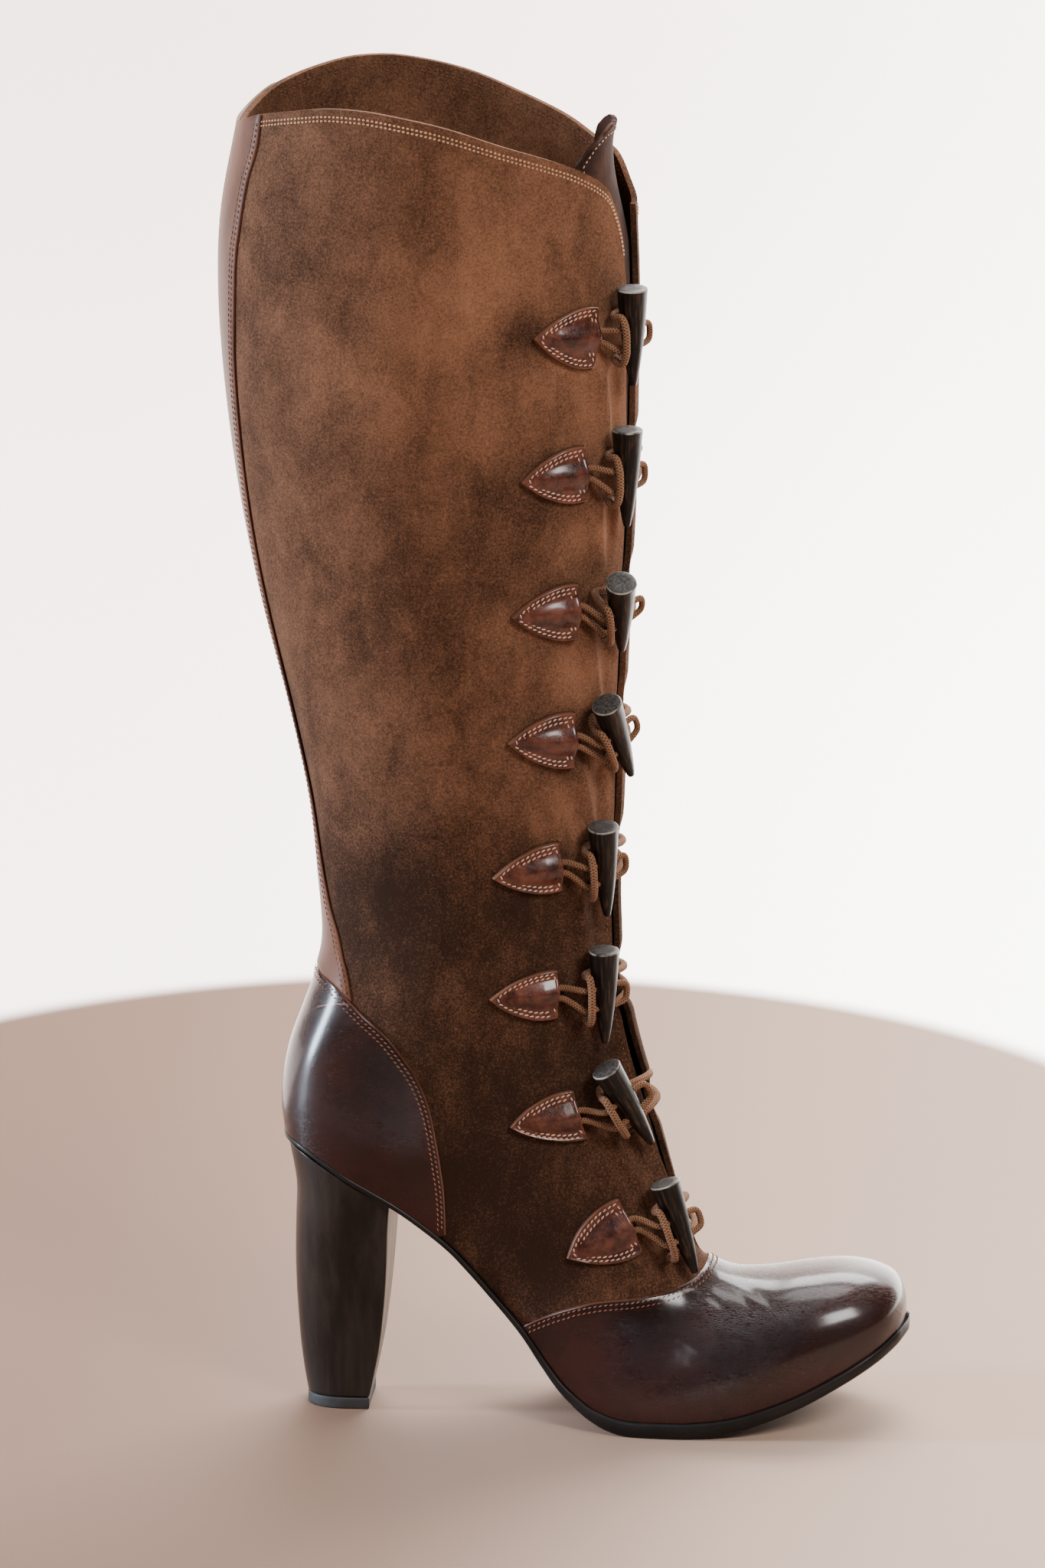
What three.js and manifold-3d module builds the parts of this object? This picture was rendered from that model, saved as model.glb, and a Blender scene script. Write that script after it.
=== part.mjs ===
import * as THREE from 'three';
import { mergeVertices } from 'three/addons/utils/BufferGeometryUtils.js';
import Module from 'manifold-3d';

const wasm = await Module();
wasm.setup();

// Toggle boot, right foot. Millimetres, toe to +X, outer side of the foot to -Y, floor at Z = 0.

// Driving sizes
const footLength = 231;
const heelHeight = 103;
const bootHeight = 503;
const instepHeight = 160;
const ballWidth = 75;
const seatWidth = 62;
const ankleDepth = 112;
const ankleWidth = 68;
const calfDepth = 151;
const calfWidth = 104;
const wall = 2.2;
const clearance = 0.3;
const overlayThickness = 1.0;
const soleThickness = 5.8;
const waistThickness = 2.0;
const soleMargin = 1.2;
const heelMargin = 0.2;
const insoleThickness = 2.0;
const liftThickness = 4.4;
const slitWidth = 8;
const slitOffset = 9;
const toggleLength = 37;
const toggleRadius = 5.7;
const toggleTip = 1.5;
const cordRadius = 1.2;
const holeSpacing = 8;
const tabLength = 26;
const tabHeight = 22;
const tabThickness = 1.9;

// Points round one section of the last
const around = 26;

const seatX = -0.446 * footLength;
const shaftX = seatX + 0.058 * footLength;

// Foot rows of the last. Each row is one flat section through the foot, from its lower or rear
// point to its upper or front point. along: share of foot length from the back of the seat.
// low: share of heel height. top: share of instep height. half: share of ball width.
// widest: where along the section it is widest. squareLow, squareTop: 2 is round, more is boxier.
// swing: share of ball width towards the inner side.
const footRows = [
  { along: 0.0550, low: 1.631, front: 0.534, top: 1.075, half: 0.419, widest: 0.45, squareLow: 2.0, squareTop: 2.0, swing: 0 },
  { along: 0.0350, low: 1.495, front: 0.539, top: 1.012, half: 0.414, widest: 0.45, squareLow: 2.05, squareTop: 2.0, swing: 0 },
  { along: 0.0130, low: 1.350, front: 0.547, top: 0.944, half: 0.406, widest: 0.45, squareLow: 2.1, squareTop: 2.0, swing: 0 },
  { along: 0.0010, low: 1.204, front: 0.5575, top: 0.881, half: 0.400, widest: 0.44, squareLow: 2.2, squareTop: 2.0, swing: 0 },
  { along: 0.0020, low: 1.078, front: 0.5685, top: 0.825, half: 0.396, widest: 0.43, squareLow: 2.5, squareTop: 2.0, swing: 0 },
  { along: 0.0220, low: 0.932, front: 0.5815, top: 0.769, half: 0.391, widest: 0.42, squareLow: 3.2, squareTop: 2.0, swing: 0 },
  { along: 0.0850, low: 0.874, front: 0.5945, top: 0.706, half: 0.385, widest: 0.40, squareLow: 5.0, squareTop: 2.0, swing: 0 },
  { along: 0.1600, low: 0.786, front: 0.6075, top: 0.638, half: 0.378, widest: 0.38, squareLow: 6.0, squareTop: 2.0, swing: -0.003 },
  { along: 0.2510, low: 0.636, front: 0.6215, top: 0.569, half: 0.363, widest: 0.36, squareLow: 6.0, squareTop: 2.0, swing: -0.012 },
  { along: 0.3250, low: 0.461, front: 0.637, top: 0.500, half: 0.356, widest: 0.34, squareLow: 5.0, squareTop: 2.0, swing: -0.019 },
  { along: 0.3850, low: 0.306, front: 0.6525, top: 0.438, half: 0.375, widest: 0.32, squareLow: 4.5, squareTop: 2.0, swing: -0.025 },
  { along: 0.4420, low: 0.117, front: 0.672, top: 0.378, half: 0.413, widest: 0.29, squareLow: 4.0, squareTop: 2.0, swing: -0.025 },
  { along: 0.4980, low: 0.010, front: 0.717, top: 0.340, half: 0.456, widest: 0.26, squareLow: 4.0, squareTop: 2.1, swing: -0.022 },
  { along: 0.5630, low: -0.029, front: 0.779, top: 0.335, half: 0.488, widest: 0.24, squareLow: 3.6, squareTop: 2.2, swing: -0.017 },
  { along: 0.6360, low: -0.029, front: 0.840, top: 0.346, half: 0.503, widest: 0.22, squareLow: 3.5, squareTop: 2.3, swing: -0.002 },
  { along: 0.7060, low: -0.010, front: 0.887, top: 0.352, half: 0.500, widest: 0.22, squareLow: 3.5, squareTop: 2.3, swing: 0.012 },
  { along: 0.7750, low: 0.034, front: 0.923, top: 0.349, half: 0.478, widest: 0.23, squareLow: 3.5, squareTop: 2.3, swing: 0.028 },
  { along: 0.8400, low: 0.092, front: 0.953, top: 0.338, half: 0.431, widest: 0.25, squareLow: 3.5, squareTop: 2.3, swing: 0.038 },
  { along: 0.8960, low: 0.150, front: 0.974, top: 0.323, half: 0.366, widest: 0.28, squareLow: 3.5, squareTop: 2.3, swing: 0.041 },
  { along: 0.9400, low: 0.204, front: 0.985, top: 0.303, half: 0.288, widest: 0.32, squareLow: 3.2, squareTop: 2.3, swing: 0.044 },
  { along: 0.9720, low: 0.252, front: 0.991, top: 0.277, half: 0.188, widest: 0.38, squareLow: 3.0, squareTop: 2.3, swing: 0.048 },
];
const toeTip = { along: 0.9930, up: 0.338, swing: 0.050 };

// Shaft rows, from above the collar down to the ankle. rise: share of the way from the ankle to the
// boot's full height. back, front: calf depth shares from the shaft line. half: calf width share.
// ankleDepth and ankleWidth take over towards rise 0.
const shaftRows = [
  { rise: 1.020, back: 0.162, front: 0.750, half: 0.471, widest: 0.45 },
  { rise: 0.950, back: 0.190, front: 0.757, half: 0.481, widest: 0.45 },
  { rise: 0.850, back: 0.228, front: 0.765, half: 0.495, widest: 0.45 },
  { rise: 0.757, back: 0.235, front: 0.771, half: 0.500, widest: 0.45 },
  { rise: 0.648, back: 0.220, front: 0.7665, half: 0.495, widest: 0.45 },
  { rise: 0.523, back: 0.186, front: 0.7630, half: 0.471, widest: 0.45 },
  { rise: 0.399, back: 0.135, front: 0.7510, half: 0.438, widest: 0.45 },
  { rise: 0.274, back: 0.068, front: 0.7400, half: 0.394, widest: 0.45 },
  { rise: 0.165, back: 0.020, front: 0.7350, half: 0.361, widest: 0.45 },
  { rise: 0.072, back: 0.000, front: 0.7225, half: 0.337, widest: 0.45 },
  { rise: 0.000, back: -0.011, front: 0.7255, half: 0.327, widest: 0.45 },
];
const ankleHeight = instepHeight + 22;

function lastRows() {
  const rows = [];
  for (const row of shaftRows) {
    const z = ankleHeight + row.rise * (bootHeight - ankleHeight);
    const calfShare = Math.min(1, row.rise / 0.6);
    const depth = calfDepth * calfShare + ankleDepth * 1.348 * (1 - calfShare);
    const width = calfWidth * calfShare + ankleWidth * 1.529 * (1 - calfShare);
    rows.push({
      lowX: shaftX - row.back * depth, lowZ: z, topX: shaftX + row.front * depth, topZ: z,
      half: row.half * width, widest: row.widest, squareLow: 2, squareTop: 2, swing: 0,
    });
  }
  for (const row of footRows) {
    const heelShare = Math.min(1, Math.max(0, 1 - row.along / 0.35));
    const width = ballWidth * (1 - heelShare) + seatWidth * 1.29 * heelShare;
    rows.push({
      lowX: seatX + row.along * footLength, lowZ: row.low * heelHeight,
      topX: seatX + row.front * footLength, topZ: row.top * instepHeight,
      half: row.half * width, widest: row.widest, squareLow: row.squareLow,
      squareTop: row.squareTop, swing: row.swing * ballWidth,
    });
  }
  return rows;
}
const rows = lastRows();

// One row of the last at any place between two table rows
function rowAt(place) {
  const i = Math.min(Math.floor(place), rows.length - 2);
  const t = place - i;
  const at = (j) => rows[Math.min(Math.max(j, 0), rows.length - 1)];
  const [a, b, c, d] = [at(i - 1), at(i), at(i + 1), at(i + 2)];
  const mixed = {};
  for (const key of Object.keys(b)) {
    mixed[key] = 0.5 * (2 * b[key] + (c[key] - a[key]) * t
      + (2 * a[key] - 5 * b[key] + 4 * c[key] - d[key]) * t * t
      + (3 * b[key] - a[key] - 3 * c[key] + d[key]) * t * t * t);
  }
  return mixed;
}

// A point on the last: place along the rows, turn 0 at the low point, pi at the top point,
// 0 to pi on the outer side (-Y) of the foot
function lastPoint(place, turn) {
  const row = rowAt(place);
  const c = Math.cos(turn);
  const s = Math.sin(turn);
  const low = c > 0;
  const power = 2 / (low ? row.squareLow : row.squareTop);
  const reach = Math.abs(c) ** power;
  const share = low ? row.widest * (1 - reach) : row.widest + (1 - row.widest) * reach;
  const side = Math.sign(s) * Math.abs(s) ** power;
  return new THREE.Vector3(
    row.lowX + share * (row.topX - row.lowX),
    row.swing - side * row.half,
    row.lowZ + share * (row.topZ - row.lowZ),
  );
}

function toManifold(geometry) {
  const bare = new THREE.BufferGeometry();
  bare.setAttribute('position', geometry.getAttribute('position').clone());
  if (geometry.index) bare.setIndex(geometry.index.clone());
  const merged = mergeVertices(bare, 1e-5);
  return new wasm.Manifold(new wasm.Mesh({
    numProp: 3,
    vertProperties: new Float32Array(merged.attributes.position.array),
    triVerts: new Uint32Array(merged.index.array),
  }));
}

function solid(points, faces) {
  const geometry = new THREE.BufferGeometry();
  geometry.setAttribute('position', new THREE.Float32BufferAttribute(points.flatMap((p) => [p.x, p.y, p.z]), 3));
  geometry.setIndex(faces);
  const body = toManifold(geometry);
  if (body.volume() > 0) return body;
  geometry.setIndex(faces.slice().reverse());
  return toManifold(geometry);
}

// Closed solid through rings of equal count, with a fan at each end
function loft(rings, endPoint) {
  const n = rings[0].length;
  const points = rings.flat();
  const faces = [];
  for (let r = 0; r + 1 < rings.length; r++) {
    for (let k = 0; k < n; k++) {
      const a = r * n + k;
      const b = r * n + (k + 1) % n;
      faces.push(a, a + n, b, b, a + n, b + n);
    }
  }
  const middle = (ring) => ring.reduce((sum, p) => sum.add(p), new THREE.Vector3()).divideScalar(n);
  const first = points.push(middle(rings[0])) - 1;
  const last = points.push(endPoint ?? middle(rings[rings.length - 1])) - 1;
  const base = (rings.length - 1) * n;
  for (let k = 0; k < n; k++) {
    faces.push(first, k, (k + 1) % n);
    faces.push(last, base + (k + 1) % n, base + k);
  }
  return solid(points, faces);
}

// The whole last grown outwards by a distance, or shrunk when the distance is negative
const grid = rows.map((row, r) => {
  const ring = [];
  for (let k = 0; k < around; k++) ring.push(lastPoint(r, (2 * Math.PI * k) / around));
  return ring;
});
const tip = new THREE.Vector3(
  seatX + toeTip.along * footLength, toeTip.swing * ballWidth, toeTip.up * heelHeight,
);
function normalAt(r, k) {
  const left = grid[r][(k + 1) % around];
  const right = grid[r][(k + around - 1) % around];
  const up = grid[Math.max(r - 1, 0)][k];
  const down = r + 1 < grid.length ? grid[r + 1][k] : tip;
  const acrossRing = left.clone().sub(right);
  return down.clone().sub(up).cross(acrossRing).normalize();
}
const normals = grid.map((ring, r) => ring.map((p, k) => normalAt(r, k)));
function last(distance) {
  const rings = grid.map((ring, r) => ring.map((p, k) => p.clone().addScaledVector(normals[r][k], distance)));
  return loft(rings, tip.clone().addScaledVector(new THREE.Vector3(1, 0, 0), distance));
}

// Flat outlines turned into blocks. side: (x, z) outline run through all widths.
// frontal: (y, z) outline run from one x to another.
function sideBlock(outline, fromY, toY) {
  const shape = new THREE.Shape(outline.map(([x, z]) => new THREE.Vector2(x, z)));
  const geometry = new THREE.ExtrudeGeometry(shape, { depth: toY - fromY, bevelEnabled: false });
  geometry.rotateX(Math.PI / 2);
  geometry.translate(0, toY, 0);
  return toManifold(geometry);
}
function frontalBlock(outline, fromX, toX) {
  const shape = new THREE.Shape(outline.map(([y, z]) => new THREE.Vector2(y, z)));
  const geometry = new THREE.ExtrudeGeometry(shape, { depth: toX - fromX, bevelEnabled: false });
  geometry.rotateX(Math.PI / 2);
  geometry.rotateZ(Math.PI / 2);
  geometry.translate(fromX, 0, 0);
  return toManifold(geometry);
}
const wide = calfWidth + ballWidth;

// Underside of the outsole in side view. along: share of foot length. low: share of heel height.
// thick: 0 waist thickness, 1 full sole thickness.
const soleRows = [
  { along: -0.030, low: 1.030, thick: 0 },
  { along: 0.000, low: 1.014, thick: 0 },
  { along: 0.037, low: 0.990, thick: 0 },
  { along: 0.076, low: 0.944, thick: 0 },
  { along: 0.113, low: 0.894, thick: 0 },
  { along: 0.179, low: 0.810, thick: 0 },
  { along: 0.225, low: 0.738, thick: 0 },
  { along: 0.271, low: 0.653, thick: 0 },
  { along: 0.306, low: 0.568, thick: 0 },
  { along: 0.339, low: 0.480, thick: 0 },
  { along: 0.387, low: 0.350, thick: 0.05 },
  { along: 0.420, low: 0.240, thick: 0.12 },
  { along: 0.450, low: 0.150, thick: 0.25 },
  { along: 0.484, low: 0.078, thick: 0.5 },
  { along: 0.507, low: 0.043, thick: 0.7 },
  { along: 0.530, low: 0.018, thick: 0.87 },
  { along: 0.555, low: 0.004, thick: 0.97 },
  { along: 0.580, low: 0.000, thick: 1 },
  { along: 0.640, low: 0.000, thick: 1 },
  { along: 0.670, low: 0.003, thick: 1 },
  { along: 0.712, low: 0.015, thick: 0.95 },
  { along: 0.760, low: 0.042, thick: 0.85 },
  { along: 0.835, low: 0.105, thick: 0.7 },
  { along: 0.903, low: 0.180, thick: 0.6 },
  { along: 0.961, low: 0.252, thick: 0.55 },
  { along: 1.000, low: 0.308, thick: 0.5 },
  { along: 1.030, low: 0.352, thick: 0.5 },
];
// A line parallel to the underside, raised by the outsole's own thickness and a further distance
function soleLine(ofSole, further) {
  const points = soleRows.map((row) => new THREE.Vector2(seatX + row.along * footLength, row.low * heelHeight));
  return points.map((p, i) => {
    const before = points[Math.max(i - 1, 0)];
    const after = points[Math.min(i + 1, points.length - 1)];
    const run = after.clone().sub(before).normalize();
    const thickness = waistThickness + soleRows[i].thick * (soleThickness - waistThickness);
    const rise = ofSole * thickness + further;
    return [p.x - run.y * rise, p.y + run.x * rise];
  });
}
function slab(lower, upper) {
  return sideBlock([...lower, ...upper.slice().reverse()], -wide, wide);
}
function below(line, depth) {
  const first = line[0];
  const end = line[line.length - 1];
  return sideBlock([...line, [end[0] + 60, end[1]], [end[0] + 60, -depth], [first[0] - 60, -depth],
    [first[0] - 60, first[1]]], -wide, wide);
}

// Rim of the shaft in side view, heel to front. along: calf depth share. up: share of boot height.
const rimRows = [
  { along: -0.260, up: 0.9640 },
  { along: -0.204, up: 0.9690 },
  { along: -0.120, up: 0.9860 },
  { along: 0.019, up: 0.9975 },
  { along: 0.118, up: 0.9995 },
  { along: 0.211, up: 0.9965 },
  { along: 0.340, up: 0.9880 },
  { along: 0.475, up: 0.9735 },
  { along: 0.585, up: 0.9610 },
  { along: 0.655, up: 0.9500 },
];
const innerCorner = [
  { along: 0.714, up: 0.9430 }, { along: 0.747, up: 0.9280 },
  { along: 0.765, up: 0.9120 }, { along: 0.777, up: 0.8900 },
];
const outerCorner = [
  { along: 0.707, up: 0.9360 }, { along: 0.728, up: 0.9190 },
  { along: 0.740, up: 0.8980 }, { along: 0.747, up: 0.8700 },
];
function aboveRim(corner, fromY, toY) {
  const line = [...rimRows, ...corner].map((row) => [shaftX + row.along * calfDepth, row.up * bootHeight]);
  const end = line[line.length - 1];
  const top = bootHeight * 1.2;
  return sideBlock([...line, [end[0] + 60, end[1]], [end[0] + 60, top], [line[0][0] - 60, top],
    [line[0][0] - 60, line[0][1]]], fromY, toY);
}

// Front slit between the two flaps, in front view. up: share of the way from the throat to the rim.
const throatHeight = 0.395 * instepHeight;
const slitRows = [
  { up: 1.10, centre: 0 },
  { up: 0.40, centre: 0 },
  { up: 0.25, centre: 0.5 },
  { up: 0.16, centre: 1 },
  { up: 0.08, centre: 2 },
  { up: 0.02, centre: 3.5 },
];
function slitOutline(grow) {
  const rise = bootHeight - throatHeight;
  const left = slitRows.map((row) => [-slitOffset + row.centre - grow, throatHeight + row.up * rise]);
  const right = slitRows.map((row) => [-slitOffset + slitWidth + row.centre + grow, throatHeight + row.up * rise]);
  const end = -slitOffset + slitWidth / 2 + slitRows[slitRows.length - 1].centre;
  return [...left, [end - slitWidth / 3 - grow * 0.7, throatHeight - grow * 0.7], [end, throatHeight - 1 - grow],
    [end + slitWidth / 3 + grow * 0.7, throatHeight - grow * 0.7], ...right.reverse()];
}
const slitBack = seatX + 0.4 * footLength;
const slitFront = seatX + 0.85 * footLength;

// Upper
const outside = last(0);
const soleTop = soleLine(1, clearance);
const inside = last(-wall);
let shell = outside.subtract(inside);
shell = shell.subtract(below(soleTop, 200));
shell = shell.subtract(aboveRim(innerCorner, -slitOffset + slitWidth / 2, wide));
shell = shell.subtract(aboveRim(outerCorner, -wide, -slitOffset + slitWidth / 2));
shell = shell.subtract(frontalBlock(slitOutline(0), slitBack, slitFront));
const upper = shell;

// Seams in side view, as shares of foot length and heel height
const vampSeam = [
  { along: 0.320, up: 0.160 }, { along: 0.372, up: 0.340 }, { along: 0.391, up: 0.375 },
  { along: 0.441, up: 0.433 }, { along: 0.506, up: 0.476 }, { along: 0.575, up: 0.490 },
  { along: 0.618, up: 0.503 }, { along: 0.650, up: 0.523 }, { along: 0.670, up: 0.547 },
  { along: 0.680, up: 0.575 }, { along: 0.686, up: 0.640 },
];
const counterSeam = [
  { along: -0.060, up: 1.680 }, { along: 0.048, up: 1.645 }, { along: 0.070, up: 1.625 },
  { along: 0.095, up: 1.600 }, { along: 0.134, up: 1.531 }, { along: 0.173, up: 1.462 },
  { along: 0.203, up: 1.381 }, { along: 0.226, up: 1.302 }, { along: 0.244, up: 1.197 },
  { along: 0.255, up: 1.072 }, { along: 0.262, up: 0.966 }, { along: 0.268, up: 0.832 },
  { along: 0.271, up: 0.500 },
];
// Front edge of the back strap. up: share of boot height. deep: share of calf depth from the back of
// the leg at that height.
const strapRows = [
  { up: 1.0443, deep: 0.0580 }, { up: 0.9710, deep: 0.0658 }, { up: 0.9342, deep: 0.0572 },
  { up: 0.8983, deep: 0.0558 }, { up: 0.8750, deep: 0.0494 }, { up: 0.8271, deep: 0.0445 },
  { up: 0.7833, deep: 0.0366 }, { up: 0.7183, deep: 0.0274 }, { up: 0.6553, deep: 0.0193 },
  { up: 0.5938, deep: 0.0150 }, { up: 0.5222, deep: 0.0080 }, { up: 0.4669, deep: 0.0080 },
  { up: 0.4218, deep: 0.0170 }, { up: 0.3887, deep: 0.0291 }, { up: 0.3678, deep: 0.0455 },
  { up: 0.3512, deep: 0.0623 }, { up: 0.3354, deep: 0.0864 }, { up: 0.2867, deep: 0.1674 },
];
// Back of the leg in side view at a height
function backOfLeg(z) {
  let i = 0;
  while (i < rows.length - 2 && rows[i + 1].lowZ > z) i += 1;
  const t = Math.max(0, (rows[i].lowZ - z) / (rows[i].lowZ - rows[i + 1].lowZ));
  return rows[i].lowX + t * (rows[i + 1].lowX - rows[i].lowX);
}
function seamLine(table) {
  return table.map((row) => [seatX + row.along * footLength, row.up * heelHeight]);
}
const underlay = last(clearance);
const overlay = last(clearance + overlayThickness).subtract(underlay).subtract(below(soleTop, 200));
const toeEnd = seatX + 1.2 * footLength;
const heelEnd = seatX - 0.3 * footLength;
const vampLine = seamLine(vampSeam);
const vampBlock = sideBlock([...vampLine, [toeEnd, vampLine[vampLine.length - 1][1]], [toeEnd, -50],
  [vampLine[0][0], -50]], -wide, wide);
const vamp = overlay.intersect(vampBlock).subtract(frontalBlock(slitOutline(1.5), slitBack, slitFront));
const counterLine = seamLine(counterSeam);
const counterBlock = sideBlock([...counterLine, [heelEnd, counterLine[counterLine.length - 1][1]],
  [heelEnd, counterLine[0][1]]], -wide, wide);
const counter = overlay.intersect(counterBlock);
const strapLine = strapRows.map((row) => {
  const z = row.up * bootHeight;
  return [backOfLeg(z) + row.deep * calfDepth, z];
});
const strapBlock = sideBlock([...strapLine, [heelEnd, strapLine[strapLine.length - 1][1]],
  [heelEnd, strapLine[0][1]]], -wide, wide);
const counterAndGap = sideBlock([...counterLine.map(([x, z]) => [x + clearance, z + clearance * 1.5]),
  [heelEnd, counterLine[counterLine.length - 1][1]], [heelEnd, counterLine[0][1]]], -wide, wide);
const backStrap = overlay.intersect(strapBlock).subtract(counterAndGap)
  .subtract(aboveRim(innerCorner, -wide, wide));

// Tongue: a sheet just inside the flaps. Front view outline, up as for the slit, left and right
// edges as shares of calf width.
const tongueThickness = 1.5;
const tongueRows = [
  { up: 0.9690, left: -0.07, right: 0.11 }, { up: 0.9650, left: -0.12, right: 0.15 },
  { up: 0.9570, left: -0.18, right: 0.18 }, { up: 0.9420, left: -0.24, right: 0.195 },
  { up: 0.7000, left: -0.25, right: 0.185 }, { up: 0.2500, left: -0.21, right: 0.175 },
  { up: 0.1000, left: -0.18, right: 0.175 }, { up: 0.0200, left: -0.145, right: 0.145 },
  { up: -0.0180, left: -0.115, right: 0.115 },
];
const tongueRise = bootHeight - throatHeight;
const tongueOutline = [
  ...tongueRows.map((row) => [row.left * calfWidth, throatHeight + row.up * tongueRise]),
  ...tongueRows.slice().reverse().map((row) => [row.right * calfWidth, throatHeight + row.up * tongueRise]),
];
const tongueSheet = last(-wall - clearance).subtract(last(-wall - clearance - tongueThickness));
const tongue = tongueSheet
  .intersect(frontalBlock(tongueOutline, seatX + 0.38 * footLength, seatX + 0.75 * footLength));

// Insole and outsole
const insoleBottom = soleLine(1, clearance);
const insoleTop = soleLine(1, clearance + insoleThickness);
const insole = last(-wall - clearance).intersect(slab(insoleBottom, insoleTop));
// The outsole's edge runs flush under the heel and steps out through the waist. until: share of foot
// length. out: share of the way from the heel's margin to the full one.
const marginRows = [{ until: 0.20, out: 0 }, { until: 0.28, out: 0.3 }, { until: 0.36, out: 0.6 }, { until: 1.3, out: 1 }];
const soleSlab = slab(soleLine(0, 0), soleLine(1, 0));
const outsole = marginRows.map(({ until, out }, i) => {
  const from = seatX + (i ? marginRows[i - 1].until : -0.3) * footLength;
  const to = seatX + until * footLength;
  const margin = heelMargin + out * (soleMargin - heelMargin);
  return last(clearance + overlayThickness + margin)
    .intersect(sideBlock([[from, -50], [to, -50], [to, 300], [from, 300]], -wide, wide));
}).reduce((whole, part) => whole.add(part)).intersect(soleSlab);

// Heel, bottom to top. back, breast: shares of foot length from the back of the seat.
// half: share of seat width.
const heelRows = [
  { up: 0.0430, back: 0.0350, breast: 0.1385, half: 0.226 },
  { up: 0.1300, back: 0.0285, breast: 0.1465, half: 0.232 },
  { up: 0.2450, back: 0.0225, breast: 0.1560, half: 0.245 },
  { up: 0.4200, back: 0.0175, breast: 0.1650, half: 0.292 },
  { up: 0.5700, back: 0.0160, breast: 0.1700, half: 0.347 },
  { up: 0.7200, back: 0.0175, breast: 0.1735, half: 0.411 },
  { up: 0.8200, back: 0.0190, breast: 0.1780, half: 0.452 },
  { up: 0.9000, back: 0.0150, breast: 0.1850, half: 0.473 },
  { up: 1.0500, back: 0.0020, breast: 0.1950, half: 0.484 },
];
const heelTurns = 16;
function heelRing(up, back, breast, half) {
  const backX = seatX + back * footLength;
  const breastX = seatX + breast * footLength;
  const shoulderX = backX + 0.62 * (breastX - backX);
  const ring = [];
  for (let k = 0; k <= heelTurns; k++) {
    const turn = (Math.PI * k) / heelTurns;
    const across = Math.abs(Math.cos(turn)) ** 0.8 * Math.sign(Math.cos(turn));
    ring.push(new THREE.Vector3(
      shoulderX - (shoulderX - backX) * Math.sin(turn) ** 0.9, half * seatWidth * across, up * heelHeight,
    ));
  }
  ring.push(new THREE.Vector3(breastX - 1, -half * seatWidth * 0.97, up * heelHeight));
  ring.push(new THREE.Vector3(breastX, -half * seatWidth * 0.9, up * heelHeight));
  ring.push(new THREE.Vector3(breastX - 0.05 * half * seatWidth, 0, up * heelHeight));
  ring.push(new THREE.Vector3(breastX, half * seatWidth * 0.9, up * heelHeight));
  ring.push(new THREE.Vector3(breastX - 1, half * seatWidth * 0.97, up * heelHeight));
  return ring.reverse();
}
const heelRings = heelRows.map((row) => heelRing(row.up, row.back, row.breast, row.half)).reverse();
const heelSeat = soleLine(0, -clearance);
const aboveSeat = sideBlock([...heelSeat, [heelSeat[heelSeat.length - 1][0], 400],
  [heelSeat[0][0], 400]], -wide, wide);
const liftTop = liftThickness + clearance;
const floorBlock = sideBlock([[-300, -20], [300, -20], [300, liftTop], [-300, liftTop]], -wide, wide);
const heel = loft(heelRings).subtract(aboveSeat).subtract(floorBlock);
const liftRow = heelRows[0];
const topLift = loft([
  heelRing(liftThickness / heelHeight, liftRow.back, liftRow.breast, liftRow.half),
  heelRing(0, liftRow.back + 0.002, liftRow.breast - 0.002, liftRow.half * 0.985),
]);

// Skin walks: along a section of the last from the outer edge of the slit, positive towards
// the back on the outer side, negative across the front to the inner side
function walk(place, edgeY) {
  const count = 240;
  const section = (where) => {
    const first = Math.floor(where);
    const points = [];
    for (let k = 0; k <= count; k++) {
      const turn = Math.PI * (0.15 + (1.7 * k) / count);
      points.push(lastPoint(first, turn).lerp(lastPoint(first + 1, turn), where - first));
    }
    return points;
  };
  const points = section(place);
  let edge = 0;
  for (let k = 1; k <= count; k++) {
    const nearer = Math.abs(points[k].y - edgeY) < Math.abs(points[edge].y - edgeY);
    if (nearer && points[k].x > points[0].x && Math.abs(k - count / 2) < count / 2.8) edge = k;
  }
  const lengths = [0];
  for (let k = 1; k <= count; k++) lengths.push(lengths[k - 1] + points[k].distanceTo(points[k - 1]));
  const lowerPoints = section(place + 0.02);
  return (arc) => {
    const wanted = lengths[edge] - arc;
    let k = 1;
    while (k < count && lengths[k] < wanted) k++;
    const t = (wanted - lengths[k - 1]) / (lengths[k] - lengths[k - 1]);
    const point = points[k - 1].clone().lerp(points[k], t);
    const back = points[k - 1].clone().sub(points[k]).normalize();
    const below = lowerPoints[k - 1].clone().lerp(lowerPoints[k], t).sub(point);
    const normal = back.clone().cross(below).normalize();
    if (normal.y * Math.sign(point.y - edgeY) < 0 && Math.abs(arc) > 20) normal.negate();
    return { point, back, normal };
  };
}

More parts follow.
